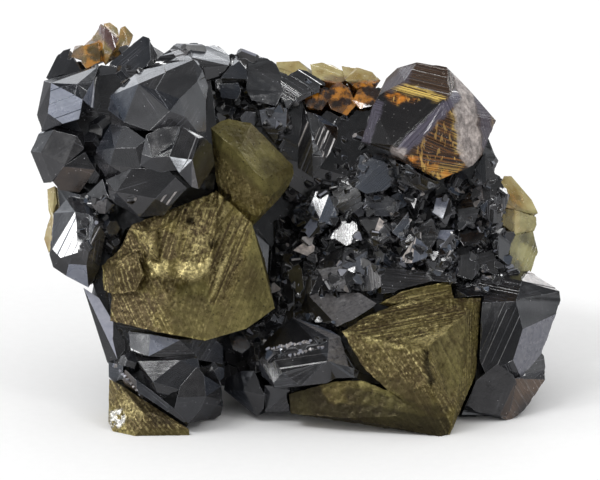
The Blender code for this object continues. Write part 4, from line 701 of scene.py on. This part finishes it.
class Look:
    """A material or a world in the making: its node tree, and short names for the nodes that it needs."""

    def __init__(self, owner, coordinates="Object"):
        owner.use_nodes = True
        self.owner = owner
        self.tree = owner.node_tree
        self.place = self.node("TexCoord")[coordinates]
        self.colour = None

    def feed(self, node_name, inputs):
        """Gives the inputs of a node their values, or links them to the outputs that feed them."""
        for name, value in inputs.items():
            socket = self.tree.nodes[node_name].inputs[name]
            if isinstance(value, bpy.types.NodeSocket):
                self.tree.links.new(value, socket)
            else:
                socket.default_value = (*value, 1) if socket.type == "RGBA" else value

    def node(self, kind, inputs=None, **settings):
        """The outputs of a new node with these inputs and settings."""
        made = self.tree.nodes.new("ShaderNode" + kind)
        for name, value in settings.items():
            setattr(made, name, value)
        self.feed(made.name, inputs or {})
        return made.outputs

    def named(self, *names):
        return [self.node("Attribute", attribute_name=name)["Fac"] for name in names]

    def math(self, operation, first, second=0.0, third=0.0):
        return self.node("Math", {0: first, 1: second, 2: third}, operation=operation)[0]

    def times(self, first, second):
        return self.math("MULTIPLY", first, second)

    def linear(self, value, factor, offset):
        return self.math("MULTIPLY_ADD", value, factor, offset)

    def vector(self, operation, inputs):
        return self.node("VectorMath", inputs, operation=operation)

    def mix_value(self, share, first, second):
        return self.node("Mix", {0: share, 2: first, 3: second})[0]

    def mix(self, share, first, second):
        return self.node("Mix", {0: share, 6: first, 7: second}, data_type="RGBA")[2]

    def cover(self, share, colour):
        """Lays a colour over the look's own, by a share."""
        self.colour = self.mix(share, self.colour, colour)

    def ranged(self, value, low, high, to_low=0.0, to_high=1.0):
        return self.node("MapRange", {0: value, 1: low, 2: high, 3: to_low, 4: to_high})[0]

    def shades(self, value, low, high, first, second):
        """From one colour to another as a value goes from low to high."""
        return self.mix(self.ranged(value, low, high), first, second)

    def noise(self, scale, detail=4.0, roughness=0.55, place=None):
        inputs = {"Scale": scale, "Detail": detail, "Roughness": roughness}
        return self.node("TexNoise", {"Vector": self.place if place is None else place, **inputs})[0]

    def lines(self, pitch, warp):
        """Uneven parallel lines: noise along the facet's own line direction, with a little waviness."""
        direction = self.node("Attribute", attribute_name="lines")["Vector"]
        along = self.vector("DOT_PRODUCT", {0: self.place, 1: direction})["Value"]
        wave = self.noise(LINE_WAVE_RATE / pitch, 2.0)
        scaled = self.math("DIVIDE", self.linear(wave, warp * pitch, along), pitch)
        return self.node("TexNoise", {"W": scaled, "Scale": 1.0, "Detail": 5.0, "Roughness": 0.65},
                         noise_dimensions="1D")[0]

    def specks(self, spacing, size):
        """A mask of sparse small dots, with their spacing in mm."""
        cells = self.node("TexVoronoi", {"Vector": self.place, "Scale": 1 / (spacing * MM), "Randomness": 1.0})
        return self.ranged(cells["Distance"], size, size * 0.6)

    def rounded(self, radius):
        """The surface normal with edges rounded to a radius in mm."""
        return self.node("Bevel", {"Radius": radius * MM}, samples=4)[0]

    def edge_wear_and_highlight_mask(self, rounded):
        """A mask of the crystal edges, where the rounded normal leaves the facet's own."""
        flat = self.node("NewGeometry")["Normal"]
        return self.ranged(self.vector("DOT_PRODUCT", {0: rounded, 1: flat})["Value"], 0.995, 0.9)

    def bump(self, strength, depth, height, normal=None):
        """The surface normal with relief of a depth in mm, on top of another normal if given."""
        inputs = {"Strength": strength, "Distance": depth * MM, "Height": height}
        return self.node("Bump", inputs if normal is None else {**inputs, "Normal": normal})[0]

    def surface(self, inputs):
        self.feed("Principled BSDF", {"Base Color": self.colour, **inputs})
        return self.owner

    def absorb(self, colour, density):
        inner = self.node("VolumeAbsorption", {"Color": colour, "Density": density})
        self.feed("Material Output", {"Volume": inner[0]})


def sphalerite_look():
    """Near-black resinous sphalerite: glassy and frosted facets, growth lines, dust and brown translucence,
    with painted sheen on chosen facets and painted highlights on streaks and edges.
    """
    look = Look(bpy.data.materials.new("sphalerite_black"))
    pale, frost, ribs, blue, warm = look.named(*FINISH_NAMES)
    patches = look.noise(260, 5)
    grain = look.noise(2600, 5, 0.65)
    lines = look.lines(0.2 * MM, 0.5)
    rounded = look.rounded(0.06)

    look.colour = look.shades(patches, 0.4, 0.7, (0.0015, 0.0015, 0.002), (0.016, 0.015, 0.015))
    mottled = look.linear(grain, 0.5, look.times(lines, ribs))
    grey = look.mix(mottled, (0.014, 0.014, 0.016), (0.14, 0.14, 0.15))
    bluish = look.mix(mottled, (0.016, 0.021, 0.032), (0.15, 0.19, 0.26))
    # Painted sheen: the first strength lays grey over the facet, bluish grey where the blue strength is set, as
    # painted reflection on the light, white, sky, light blue and pearl facets.
    look.cover(pale, look.mix(blue, grey, bluish))
    # Light streaks along the growth lines: partly etched lines, partly painted highlights on the striations.
    streaks = look.times(look.ranged(lines, 0.55, 0.68), look.ranged(patches, 0.46, 0.6))
    look.cover(look.times(streaks, 0.3), (0.20, 0.20, 0.23))
    look.cover(warm, look.shades(patches, 0.35, 0.65, (0.025, 0.013, 0.007), (0.20, 0.11, 0.05)))
    # Frosted tone under the same strength: the frosted surface's own colour, laid on lighter on the lilac and
    # white facets as painted light.
    frosted = look.shades(grain, 0.3, 0.7, (0.12, 0.105, 0.10), (0.78, 0.69, 0.64))
    frosted = look.mix(look.times(blue, 0.8), frosted, (0.34, 0.37, 0.50))
    look.cover(look.times(look.times(frost, frost), pale), frosted)
    dust = look.times(look.specks(0.6, 0.1), look.ranged(patches, 0.42, 0.6))
    look.cover(look.times(dust, 0.5), (0.55, 0.55, 0.58))
    # Lighter crystal edges: partly frosted wear, partly a painted highlight along the edges.
    edge_wear_and_highlight = look.times(look.edge_wear_and_highlight_mask(rounded), look.ranged(grain, 0.4, 0.62, 0.05, 0.6))
    look.cover(edge_wear_and_highlight, (0.30, 0.31, 0.34))

    rough = look.ranged(look.noise(700, 6), 0.35, 0.75, 0.05, 0.24)
    rough = look.math("ADD", rough, look.times(frost, 0.3))
    rough = look.math("MAXIMUM", rough, look.times(dust, 0.6))
    ribbed = look.bump(1.0, 0.05, look.times(lines, ribs), rounded)
    ripple = look.linear(grain, 0.15, look.noise(700, 5))
    rippled = look.bump(0.55, 0.03, ripple, ribbed)
    return look.surface({"Roughness": rough, "IOR": SPHALERITE_IOR, "Normal": rippled})


def chalcopyrite_look():
    """Olive brass with fine ribs, brown tarnish and dark pits, with painted golden glints on the rib crests,
    painted shade in the furrows and over the base lump, and a painted reflection spot.
    """
    look = Look(bpy.data.materials.new("chalcopyrite_brass"))
    brown, green, gold, dark, mirror, ribbed, groove, ribs = look.named(*BRASS_MARKS, "groove", "ribs")
    ribs = look.times(ribs, look.linear(ribbed, 0.85, 0.15))
    patches = look.noise(420, 6, 0.6)
    grain = look.noise(3400, 5, 0.7)
    lines = look.lines(0.3 * MM, 0.6)

    look.colour = look.shades(patches, 0.3, 0.7, (0.125, 0.095, 0.029), (0.29, 0.24, 0.076))
    look.cover(green, look.shades(patches, 0.35, 0.65, (0.11, 0.094, 0.031), (0.28, 0.245, 0.085)))
    clouds = look.ranged(look.noise(180), 0.42, 0.62)
    look.cover(look.times(clouds, 0.55), (0.075, 0.048, 0.02))
    umber = look.mix(grain, (0.035, 0.022, 0.012), (0.16, 0.11, 0.06))
    tarnish = look.ranged(look.noise(520, 6, 0.65), 0.5, 0.66)
    look.cover(look.times(tarnish, look.linear(green, -0.65, 0.8)), umber)
    look.cover(look.times(look.ranged(groove, 0.5, 1), 0.75), umber)
    look.cover(look.times(brown, look.ranged(grain, 0.25, 0.6, 0.55, 1)), umber)
    # Painted shade: umber along the furrows between the ribs.
    painted_furrow_shade = look.times(look.ranged(lines, 0.5, 0.36), ribs)
    look.cover(look.times(painted_furrow_shade, 0.8), umber)
    # Painted highlights: golden glints on the rib crests and along the lines, strongest under the golden glint
    # marks.
    glint = look.ranged(look.times(lines, grain), 0.26, 0.36)
    crest = look.times(look.ranged(groove, 0.62, 0.15), look.ranged(grain, 0.35, 0.6, 0.2, 1))
    shine = look.times(crest, look.linear(gold, 0.9, look.linear(ribbed, 0.4, 0.02)))
    shine = look.math("MAXIMUM", shine, look.times(glint, look.linear(green, -0.4, 0.45)))
    look.cover(shine, (0.98, 0.83, 0.38))
    # Near-black: dark specks, and the dark marks, which paint shade in the pits, the sunk groove and the base
    # lump.
    pits = look.math("MAXIMUM", look.specks(0.8, 0.13), dark)
    look.cover(look.times(pits, 0.85), (0.02, 0.016, 0.012))
    # Painted reflection: a silvery white spot under the mirror mark.
    painted_reflection_spot = look.times(mirror, look.ranged(look.noise(1500), 0.36, 0.44))
    look.cover(painted_reflection_spot, (0.92, 0.90, 0.84))

    rough = look.ranged(grain, 0.3, 0.7, 0.22, 0.44)
    rough = look.math("SUBTRACT", rough, look.times(shine, 0.14))
    rough = look.math("SUBTRACT", rough, look.times(painted_reflection_spot, 0.3))
    skin = look.math("SUBTRACT", grain, look.times(pits, 0.8))
    skinned = look.bump(0.9, 0.06, skin, look.bump(1.0, 0.13, look.times(lines, ribs)))
    cells = look.node("TexVoronoi", {"Vector": look.place, "Scale": 1 / (0.2 * MM)})["Color"]
    tilt = look.vector("ADD", {0: cells, 1: (-0.5, -0.5, -0.5)})[0]
    tilt = look.vector("SCALE", {0: tilt, "Scale": look.linear(green, -0.4, 0.48)})[0]
    tilted = look.vector("NORMALIZE", {0: look.vector("ADD", {0: skinned, 1: tilt})[0]})[0]
    return look.surface({"Metallic": 0.7, "Roughness": rough, "Normal": tilted})


def amber_look():
    """Clear orange-brown sphalerite, frosted pinkish grey on one face and violet on its ridge, with a painted
    orange glow and painted golden glints.
    """
    look = Look(bpy.data.materials.new("sphalerite_amber"))
    orange, gold, violet, frost, black, ribs = look.named(*AMBER_MARK_NAMES, "ribs")
    lines = look.lines(0.2 * MM, 0.4)
    patches = look.noise(300, 5)
    grain = look.noise(2400, 5, 0.65)

    look.colour = look.shades(lines, 0.35, 0.65, (0.008, 0.004, 0.002), (0.10, 0.05, 0.022))
    look.cover(black, look.mix(patches, (0.003, 0.0025, 0.0025), (0.014, 0.012, 0.012)))
    striped = look.ranged(lines, 0.46, 0.56)
    rust = look.mix(striped, (0.012, 0.005, 0.002), (0.22, 0.085, 0.014))
    slant = {"Vector": look.place, "Rotation": (0.4, 0.9, 0.3), "Scale": (2600, 620, 900)}
    crossed = look.ranged(look.noise(1, 2, place=look.node("Mapping", slant)[0]), 0.57, 0.64)
    rust = look.mix(look.times(crossed, 0.85), rust, (0.70, 0.42, 0.11))
    # Painted glow: brighter orange patches over the rust colour, and golden glints along the lines.
    glow = look.times(look.ranged(look.noise(520, 3), 0.5, 0.62), look.ranged(orange, 0.6, 1))
    look.cover(orange, look.mix(look.times(glow, 0.9), rust, (0.78, 0.27, 0.02)))
    look.cover(gold, look.mix(striped, (0.13, 0.07, 0.015), (0.98, 0.70, 0.18)))
    look.cover(violet, look.mix(lines, (0.012, 0.011, 0.018), (0.20, 0.18, 0.24)))
    look.cover(look.times(frost, 0.9), look.shades(grain, 0.3, 0.7, (0.16, 0.13, 0.12), (0.70, 0.62, 0.58)))
    shaded = look.ranged(look.noise(900, 5, 0.7), 0.36, 0.56, 0.75, 0)
    look.cover(look.times(frost, shaded), (0.10, 0.085, 0.08))
    look.cover(look.times(look.specks(0.45, 0.12), 0.6), (0.6, 0.58, 0.56))

    rough = look.math("ADD", look.ranged(patches, 0.3, 0.7, 0.05, 0.18), look.times(frost, 0.35))
    clear = look.math("SUBTRACT", 0.3, look.times(frost, 0.25))
    ribbed = look.bump(1.0, 0.06, look.times(lines, ribs), look.rounded(0.07))
    etched = look.bump(0.3, 0.012, look.noise(1100, 5), ribbed)
    look.absorb((0.78, 0.33, 0.05), 900.0)
    return look.surface({"Roughness": rough, "IOR": SPHALERITE_IOR, "Specular IOR Level": 0.16,
                         "Transmission Weight": clear, "Normal": etched})


def honey_look():
    """Pale yellow, amber and yellow-green gemmy sphalerite."""
    look = Look(bpy.data.materials.new("sphalerite_honey"))
    amber, green, mauve, black = look.named(*HONEY_MARK_NAMES)
    patches = look.noise(420, 5)
    grain = look.noise(2000, 5)
    look.colour = look.shades(patches, 0.35, 0.65, (0.48, 0.33, 0.08), (0.92, 0.80, 0.38))
    look.cover(amber, look.shades(look.noise(800), 0.44, 0.60, (0.035, 0.012, 0.003), (0.80, 0.31, 0.025)))
    look.cover(green, look.shades(patches, 0.38, 0.62, (0.12, 0.115, 0.025), (0.58, 0.55, 0.22)))
    look.cover(mauve, look.mix(grain, (0.09, 0.045, 0.04), (0.30, 0.18, 0.17)))
    look.cover(black, (0.02, 0.014, 0.010))
    rough = look.ranged(grain, 0.3, 0.7, 0.08, 0.3)
    rippled = look.bump(0.6, 0.05, look.noise(1100, 5), look.rounded(0.06))
    look.absorb((0.95, 0.78, 0.25), 400.0)
    return look.surface({"Roughness": rough, "IOR": SPHALERITE_IOR, "Transmission Weight": 0.45,
                         "Normal": rippled})


def floor_look():
    """White paper, which mirrored rays see as dark grey."""
    look = Look(bpy.data.materials.new("white_paper"))
    look.colour = look.mix(look.noise(900, 3), (0.90, 0.90, 0.90), (0.94, 0.94, 0.94))
    look.cover(look.node("LightPath")["Is Glossy Ray"], (0.22, 0.22, 0.23))
    return look.surface({"Roughness": 0.9, "Specular IOR Level": 0.1})


def add_world():
    """A white surround, and for mirrored rays a bright top, mild sides and a dark front."""
    world = bpy.data.worlds.new("studio")
    bpy.context.scene.world = world
    look = Look(world, "Generated")
    split = look.node("SeparateXYZ", {0: look.place})
    back_band = look.times(look.ranged(split["Y"], 0.45, 0.8, 0, 1.2), look.ranged(split["Z"], 0.66, 0.5))
    left_wall = look.ranged(split["X"], -0.58, -0.9, 0, 0.5)
    right_wall = look.ranged(split["X"], 0.5, 0.9, 0, 0.28)
    walls = look.math("MAXIMUM", back_band, look.math("MAXIMUM", left_wall, right_wall))
    room = look.math("ADD", walls, look.ranged(split["Z"], 0, 0.9, 0.04, 0.13))
    windows = look.ranged(look.noise(3.1, 1), 0.42, 0.58, 0.35, 1.75)
    path = look.node("LightPath")
    strength = look.mix_value(path["Is Glossy Ray"], 0.85, look.times(room, windows))
    strength = look.mix_value(path["Is Camera Ray"], strength, 1.2)
    tint = look.mix(path["Is Glossy Ray"], (1, 1, 1), (0.92, 0.95, 1.0))
    look.feed("Background", {"Strength": strength, "Color": tint})


def in_metres(steps):
    return [value * MM for value in steps]


def finish(name):
    """The strengths that a finish gives to a facet of the black crystals."""
    return dict(zip(FINISH_NAMES, FINISHES[name]))


def plain_facts(shape, chance):
    """For each facet of a crystal its line direction and how ribbed and stepped it is."""
    number = shape.faces.layers.int["facet"]
    facts = {}
    for face in shape.faces:
        lines = longest_edge_direction(face).cross(face.normal).normalized()
        ribs = chance.choice((0, 0.1, 0.25, 0.6, 1))
        steps = PLAIN_STEPS if chance.random() < STEP_SHARE else ()
        facts[face[number]] = {"lines": lines, "ribs": ribs, "steps": in_metres(steps)}
    return facts


def step_facets(shape, facts, chance):
    """Cuts growth steps across the larger facets. The risers of a named facet are painted white or light grey,
    as painted highlights along the steps.
    """
    number = shape.faces.layers.int["facet"]
    large = [face for face in shape.faces if face.calc_area() > STEP_FACET_AREA]
    large.sort(key=lambda face: face[number])
    for face in large:
        known = facts[face[number]]
        if not known["steps"]:
            continue
        risers = cut_steps(face, known["lines"], chance, *known["steps"])
        if "risers" in known:
            # Painted highlight: risers lightened to white on fully ribbed facets, to light grey on the others.
            facts[known["risers"]] = {**known, **finish("white" if known["ribs"] == 1 else "light")}
            for riser in risers:
                riser[number] = known["risers"]


def black_facts(shape, tree, chance):
    """The look of each facet of the black crystals: the named ones as listed, the others by chance."""
    facts = plain_facts(shape, chance)
    for face in shape.faces:
        known = facts[face.index]
        across, down, _ = front_view(face.calc_center_median())
        in_front = face.normal.dot(TOWARD_EYE) > 0
        in_druse = in_front and inside(DRUSE_ZONES[0], across, down) > 0
        # Druse facets are mostly black, a few painted lighter grey and white as painted glints; the others get
        # a random grey tone.
        shades = (0, 0, 0, 0, 0, 0.5, 1) if in_druse else (0.05, 0.1, 0.15, 0.2, 0.3)
        known.update(pale=chance.choice(shades), frost=chance.choice((0, 0, 0.1, 0.3)), warm=0,
                     blue=chance.choice((0, 0.3, 0.8)), ribs=chance.choice((0, 0.1, 0.3)))
        if in_front and not in_druse and across < LARGE_CRYSTALS_END:
            known["steps"] = ()
    for across, down, name, run, *steps in BLACK_FACETS:
        facet = facet_seen(tree, across, down)
        if facet is None:
            continue
        known = facts[facet]
        known.update(blue=0, warm=0)
        known.update(finish(name), lines=lines_across(shape.faces[facet].normal, run), steps=in_metres(steps))
        if steps:
            known["risers"] = FIRST_RISER_FACET + facet
    return facts


def small_crystal_facts(chance):
    """The look of one facet of the small crystals."""
    # A few small crystals get a light, frosted finish: painted glints.
    return {"lines": Vector([chance.uniform(-1, 1) for _ in range(3)]).normalized(),
            "ribs": chance.choice((0, 0.2, 0.6)), "pale": chance.choice((0, 0, 0, 0.05, 0.8)),
            "frost": chance.choice((0, 0, 0.1, 0.75)), "warm": 0, "blue": chance.choice((0, 0.8))}


def hidden(tree, place):
    """Whether something stands between the eye and a place."""
    ray = place - EYE
    return tree.ray_cast(EYE, ray.normalized(), ray.length)[0] is not None


def in_a_cleft(tree, face, place):
    """Whether the front of the specimen has small crystals at a place of a face."""
    across, down, _ = front_view(place)
    if not any(inside(zone, across, down) > 0 for zone in DRUSE_ZONES) or inside(BARE_ZONE, across, down) > 0:
        return False
    if inside(OPEN_ZONE, across, down) > 0:
        return True
    needed = DRUSE_OPEN if inside(DRUSE_ZONES[0], across, down) > 0 else DRUSE_CLEFT
    return cavity(tree, place, face.normal, DRUSE_REACH) >= needed


def scatter_druse(shape, tree, chance):
    """Small crystals in the druse and over the broken back, partly sunk into what they grow on."""
    faces = [face for face in shape.faces if face.calc_area() > DRUSE_FACE_AREA]
    totals = list(itertools.accumulate(face.calc_area() for face in faces))
    taken = {}
    for face in chance.choices(faces, cum_weights=totals, k=DRUSE_TRIES):
        place = random_place(face, chance)
        back = place.y > DRUSE_BACK
        if not back and not in_a_cleft(tree, face, place):
            continue
        size = chance.uniform(*(DRUSE_BACK_SIZES if back else DRUSE_SIZES)) * MM
        if back and not hidden(tree, place + face.normal * size * DRUSE_TALLEST):
            continue
        if place.z < DRUSE_LOWEST or not fits_box(place, size * DRUSE_WIDEST):
            continue
        cell = tuple(round(value / DRUSE_CELL) for value in place)
        near = [spot for step in itertools.product((-1, 0, 1), repeat=3)
                for spot in taken.get(tuple(map(sum, zip(cell, step))), [])]
        if any((place - other).length < (size + reach) * DRUSE_GAP for other, reach in near):
            continue
        taken.setdefault(cell, []).append((place, size))
        turn = Euler([chance.uniform(0, math.pi) for _ in range(3)])
        stretch = (1, 1, chance.uniform(*DRUSE_STRETCH))
        add_crystal(shape, place - face.normal * size * DRUSE_SUNK, size, turn, stretch)


def add_rows(shape, tree, chance):
    """Rows of tiny crystals along edges. Gives the numbers of their facets."""
    made = []
    for start, end, count, size in BLACK_ROWS:
        for step in range(count):
            share = (step + chance.uniform(-0.3, 0.3)) / count
            across = start[0] + (end[0] - start[0]) * share
            down = start[1] + (end[1] - start[1]) * share + chance.uniform(-0.08, 0.08)
            place = hit_seen(tree, across, down)[0]
            if place is None:
                continue
            turn = Euler([chance.uniform(0, math.pi) for _ in range(3)])
            made += add_crystal(shape, place, size * chance.uniform(0.7, 1.3) * MM, turn, (1, 1, 1))
    return made


def black_piece(look):
    """The black crystals, with growth steps, the druse and the rows of tiny crystals."""
    shape = facet_shape("sphalerite_cluster")
    tree = BVHTree.FromBMesh(shape)
    chance = random.Random(STEP_SEED)
    scatter = random.Random(DRUSE_SEED)
    facts = black_facts(shape, tree, chance)
    step_facets(shape, facts, chance)
    scatter_druse(shape, tree, scatter)
    row_facets = add_rows(shape, tree, scatter)
    mesh = piece_from(shape, "black_crystals", "sphalerite_cluster", look)
    for facet in facets_of(mesh):
        if facet not in facts:
            facts[facet] = small_crystal_facts(chance)
    # The rows of tiny crystals are painted white: painted glints.
    for facet in row_facets:
        facts[facet].update(finish("white"))
    write_facts(mesh, facts, FINISH_NAMES)


def crystal_piece(name, node_name, look, names, marks, back_marks, facets=()):
    """A piece of clear crystal with growth steps and marks by place."""
    shape = facet_shape(node_name)
    chance = random.Random(node_name)
    facts = plain_facts(shape, chance)
    tree = BVHTree.FromBMesh(shape)
    for across, down, run, ribs, *steps in facets:
        facet = facet_seen(tree, across, down)
        if facet is not None:
            lines = lines_across(shape.faces[facet].normal, run)
            facts[facet] = {"lines": lines, "ribs": ribs, "steps": in_metres(steps)}
    step_facets(shape, facts, chance)
    refine(shape, FINEST_CRYSTAL)
    values = mark_values(shape, names, marks)
    for index, corner in enumerate(shape.verts):
        if faces_away(corner):
            for mark, strength in back_marks.items():
                values[mark][index] = strength
    mesh = piece_from(shape, name, node_name, look)
    write_facts(mesh, facts, ("ribs",))
    write_marks(mesh, values)


def rib_facts(shape, tree, places):
    """For each chalcopyrite facet its line direction, rib height, rib pitch and roughness in millimetres."""
    facts = {}

    def describe(face, run, height, pitch, rough):
        facts[face.index] = {"lines": lines_across(face.normal, run), "height": height, "pitch": pitch,
                             "rough": rough, "ribs": min(1, height * RIB_SHADE)}

    for face in shape.faces:
        across, down, _ = front_view(face.calc_center_median())
        nearest = min(places, key=lambda rib: (rib[0] - across) ** 2 + (rib[1] - down) ** 2)
        describe(face, *nearest[2:])
    for across, down, *rib in places:
        facet = facet_seen(tree, across, down)
        if facet is not None:
            describe(shape.faces[facet], *rib)
    return facts


def hollow(place, normal, known, height):
    """How deep the ribbed skin lies below its facet at a place, with ribs of a height, in millimetres."""
    pitch = known["pitch"]
    across = place.dot(known["lines"])
    along = place.dot(known["lines"].cross(normal))
    broad = abs(noise.noise(Vector((across / pitch, along / RIB_LENGTH, 3.1)))) * 2
    fine = abs(noise.noise(Vector((across / pitch * 2.3, along / FINE_RIB_LENGTH, 7.7)))) * 2
    grain = noise.fractal(place / BRASS_GRAIN, 0.9, 2.1, 3)
    return max(0.0, height * (1 - broad) + height * 0.4 * (1 - fine) + known["rough"] * (0.6 - grain))


def brass_piece(name, node_name, look, ribs, blocks, pits, marks):
    """A chalcopyrite piece with ribs, raised blocks and pits in its skin."""
    shape = facet_shape(node_name)
    facts = rib_facts(shape, BVHTree.FromBMesh(shape), ribs)
    number = shape.faces.layers.int["facet"]
    normals = {face[number]: face.normal.copy() for face in shape.faces}
    refine(shape, FINEST_BRASS)
    shape.verts.index_update()
    values = mark_values(shape, BRASS_MARKS, marks)
    values["groove"] = []
    moves = []
    for corner in shape.verts:
        facets = {face[number] for face in corner.link_faces}
        across, down, _ = front_view(corner.co)
        move = Vector((0, 0, 0))
        deepest = 0.0
        strength = CALM_RIBS + (1 - CALM_RIBS) * values["ribbed"][corner.index]
        for facet in facets:
            normal = normals[facet]
            known = facts[facet]
            depth = hollow(corner.co / MM, normal, known, known["height"] * strength)
            deepest = max(deepest, depth / (known["height"] * 1.3 + known["rough"] * 1.2))
            if normal.dot(TOWARD_EYE) > BLOCK_FACING:
                for height, *outline in blocks:
                    depth -= height * soft_inside(outline, across, down, MARK_SOFTNESS)
                for left, top, radius, hole in pits:
                    gap = math.hypot(across - left, down - top)
                    depth += hole * max(0.0, 1 - (gap / radius) ** 2)
            move -= normal * depth / len(facets)
        values["groove"].append(min(1.0, deepest))
        moves.append(move * MM)
    low, high = cad_box
    for corner, move in zip(shape.verts, moves):
        corner.co += move
        for axis in range(3):
            corner.co[axis] = min(max(corner.co[axis], low[axis] + WELD), high[axis] - WELD)
    for face in shape.faces:
        face.smooth = True
    for edge in shape.edges:
        edge.smooth = len({face[number] for face in edge.link_faces}) == 1
    mesh = piece_from(shape, name, node_name, look)
    write_facts(mesh, facts, ("ribs",))
    write_marks(mesh, values)


def add_floor():
    bpy.ops.mesh.primitive_circle_add(vertices=96, radius=3.0, fill_type="NGON", location=(0, 0, 0))
    floor = bpy.context.object
    floor.name = "floor"
    floor.data.materials.append(floor_look())


def add_softbox(name, direction, distance, width, height, power, colour=(1, 1, 1)):
    """An area lamp facing the specimen from a direction."""
    lamp = bpy.data.lights.new(name + "_softbox", "AREA")
    lamp.shape = "RECTANGLE"
    lamp.size = width
    lamp.size_y = height
    lamp.energy = power
    lamp.color = colour
    holder = bpy.data.objects.new(name + "_softbox", lamp)
    bpy.context.scene.collection.objects.link(holder)
    toward = Vector(direction).normalized()
    holder.location = LAMP_TARGET + toward * distance
    holder.rotation_euler = toward.to_track_quat("Z", "Y").to_euler()


def add_camera():
    camera = bpy.data.cameras.new("eye")
    camera.sensor_width = SENSOR_WIDTH
    camera.lens = SENSOR_WIDTH * EYE_DISTANCE / VIEW_WIDTH
    camera.clip_start = 0.01
    eye = bpy.data.objects.new("eye", camera)
    bpy.context.scene.collection.objects.link(eye)
    eye.location = EYE
    eye.rotation_euler = (math.pi / 2 - FRONT_VIEW_TILT, 0, 0)
    bpy.context.scene.camera = eye


noise.seed_set(MARK_SEED)
brass = chalcopyrite_look()
honey = honey_look()
black_piece(sphalerite_look())
crystal_piece("amber_block", "amber_crystal", amber_look(), AMBER_MARK_NAMES, AMBER_MARKS,
              {"orange": 0.4}, AMBER_FACETS)
brass_piece("brass_left", "chalcopyrite_left", brass, LEFT_RIBS, LEFT_BLOCKS, LEFT_PITS, LEFT_MARKS)
brass_piece("brass_right", "chalcopyrite_right", brass, RIGHT_RIBS, RIGHT_BLOCKS, RIGHT_PITS, RIGHT_MARKS)
brass_piece("brass_foot", "chalcopyrite_foot", brass, FOOT_RIBS, (), (), FOOT_MARKS)
for place, marks in (("tip", TIP_MARKS), ("top", TOP_MARKS), ("right", RIGHT_RIM_MARKS), ("left", ())):
    crystal_piece("honey_" + place, "honey_crystals_" + place, honey, HONEY_MARK_NAMES,
                  marks, {"amber": 0.3})

add_floor()
add_world()
add_softbox("top_left", (-0.58, -0.36, 0.74), 0.5, 0.1, 0.1, 0.38)
add_softbox("front_left", (-0.4, -0.52, 0.755), 0.55, 0.12, 0.07, 0.36)
add_softbox("back", (0.3, 0.87, 0.4), 0.55, 0.3, 0.08, 0.4)
add_softbox("left", (-0.93, -0.15, 0.3), 0.5, 0.09, 0.09, 0.25)
add_softbox("low_front", (-0.4, -0.9, 0.1), 0.5, 0.09, 0.06, 0.1, (0.92, 0.95, 1))
add_softbox("right_front", (0.55, -0.55, 0.63), 0.5, 0.08, 0.08, 0.2)
add_camera()
bpy.context.scene.view_settings.view_transform = "Standard"
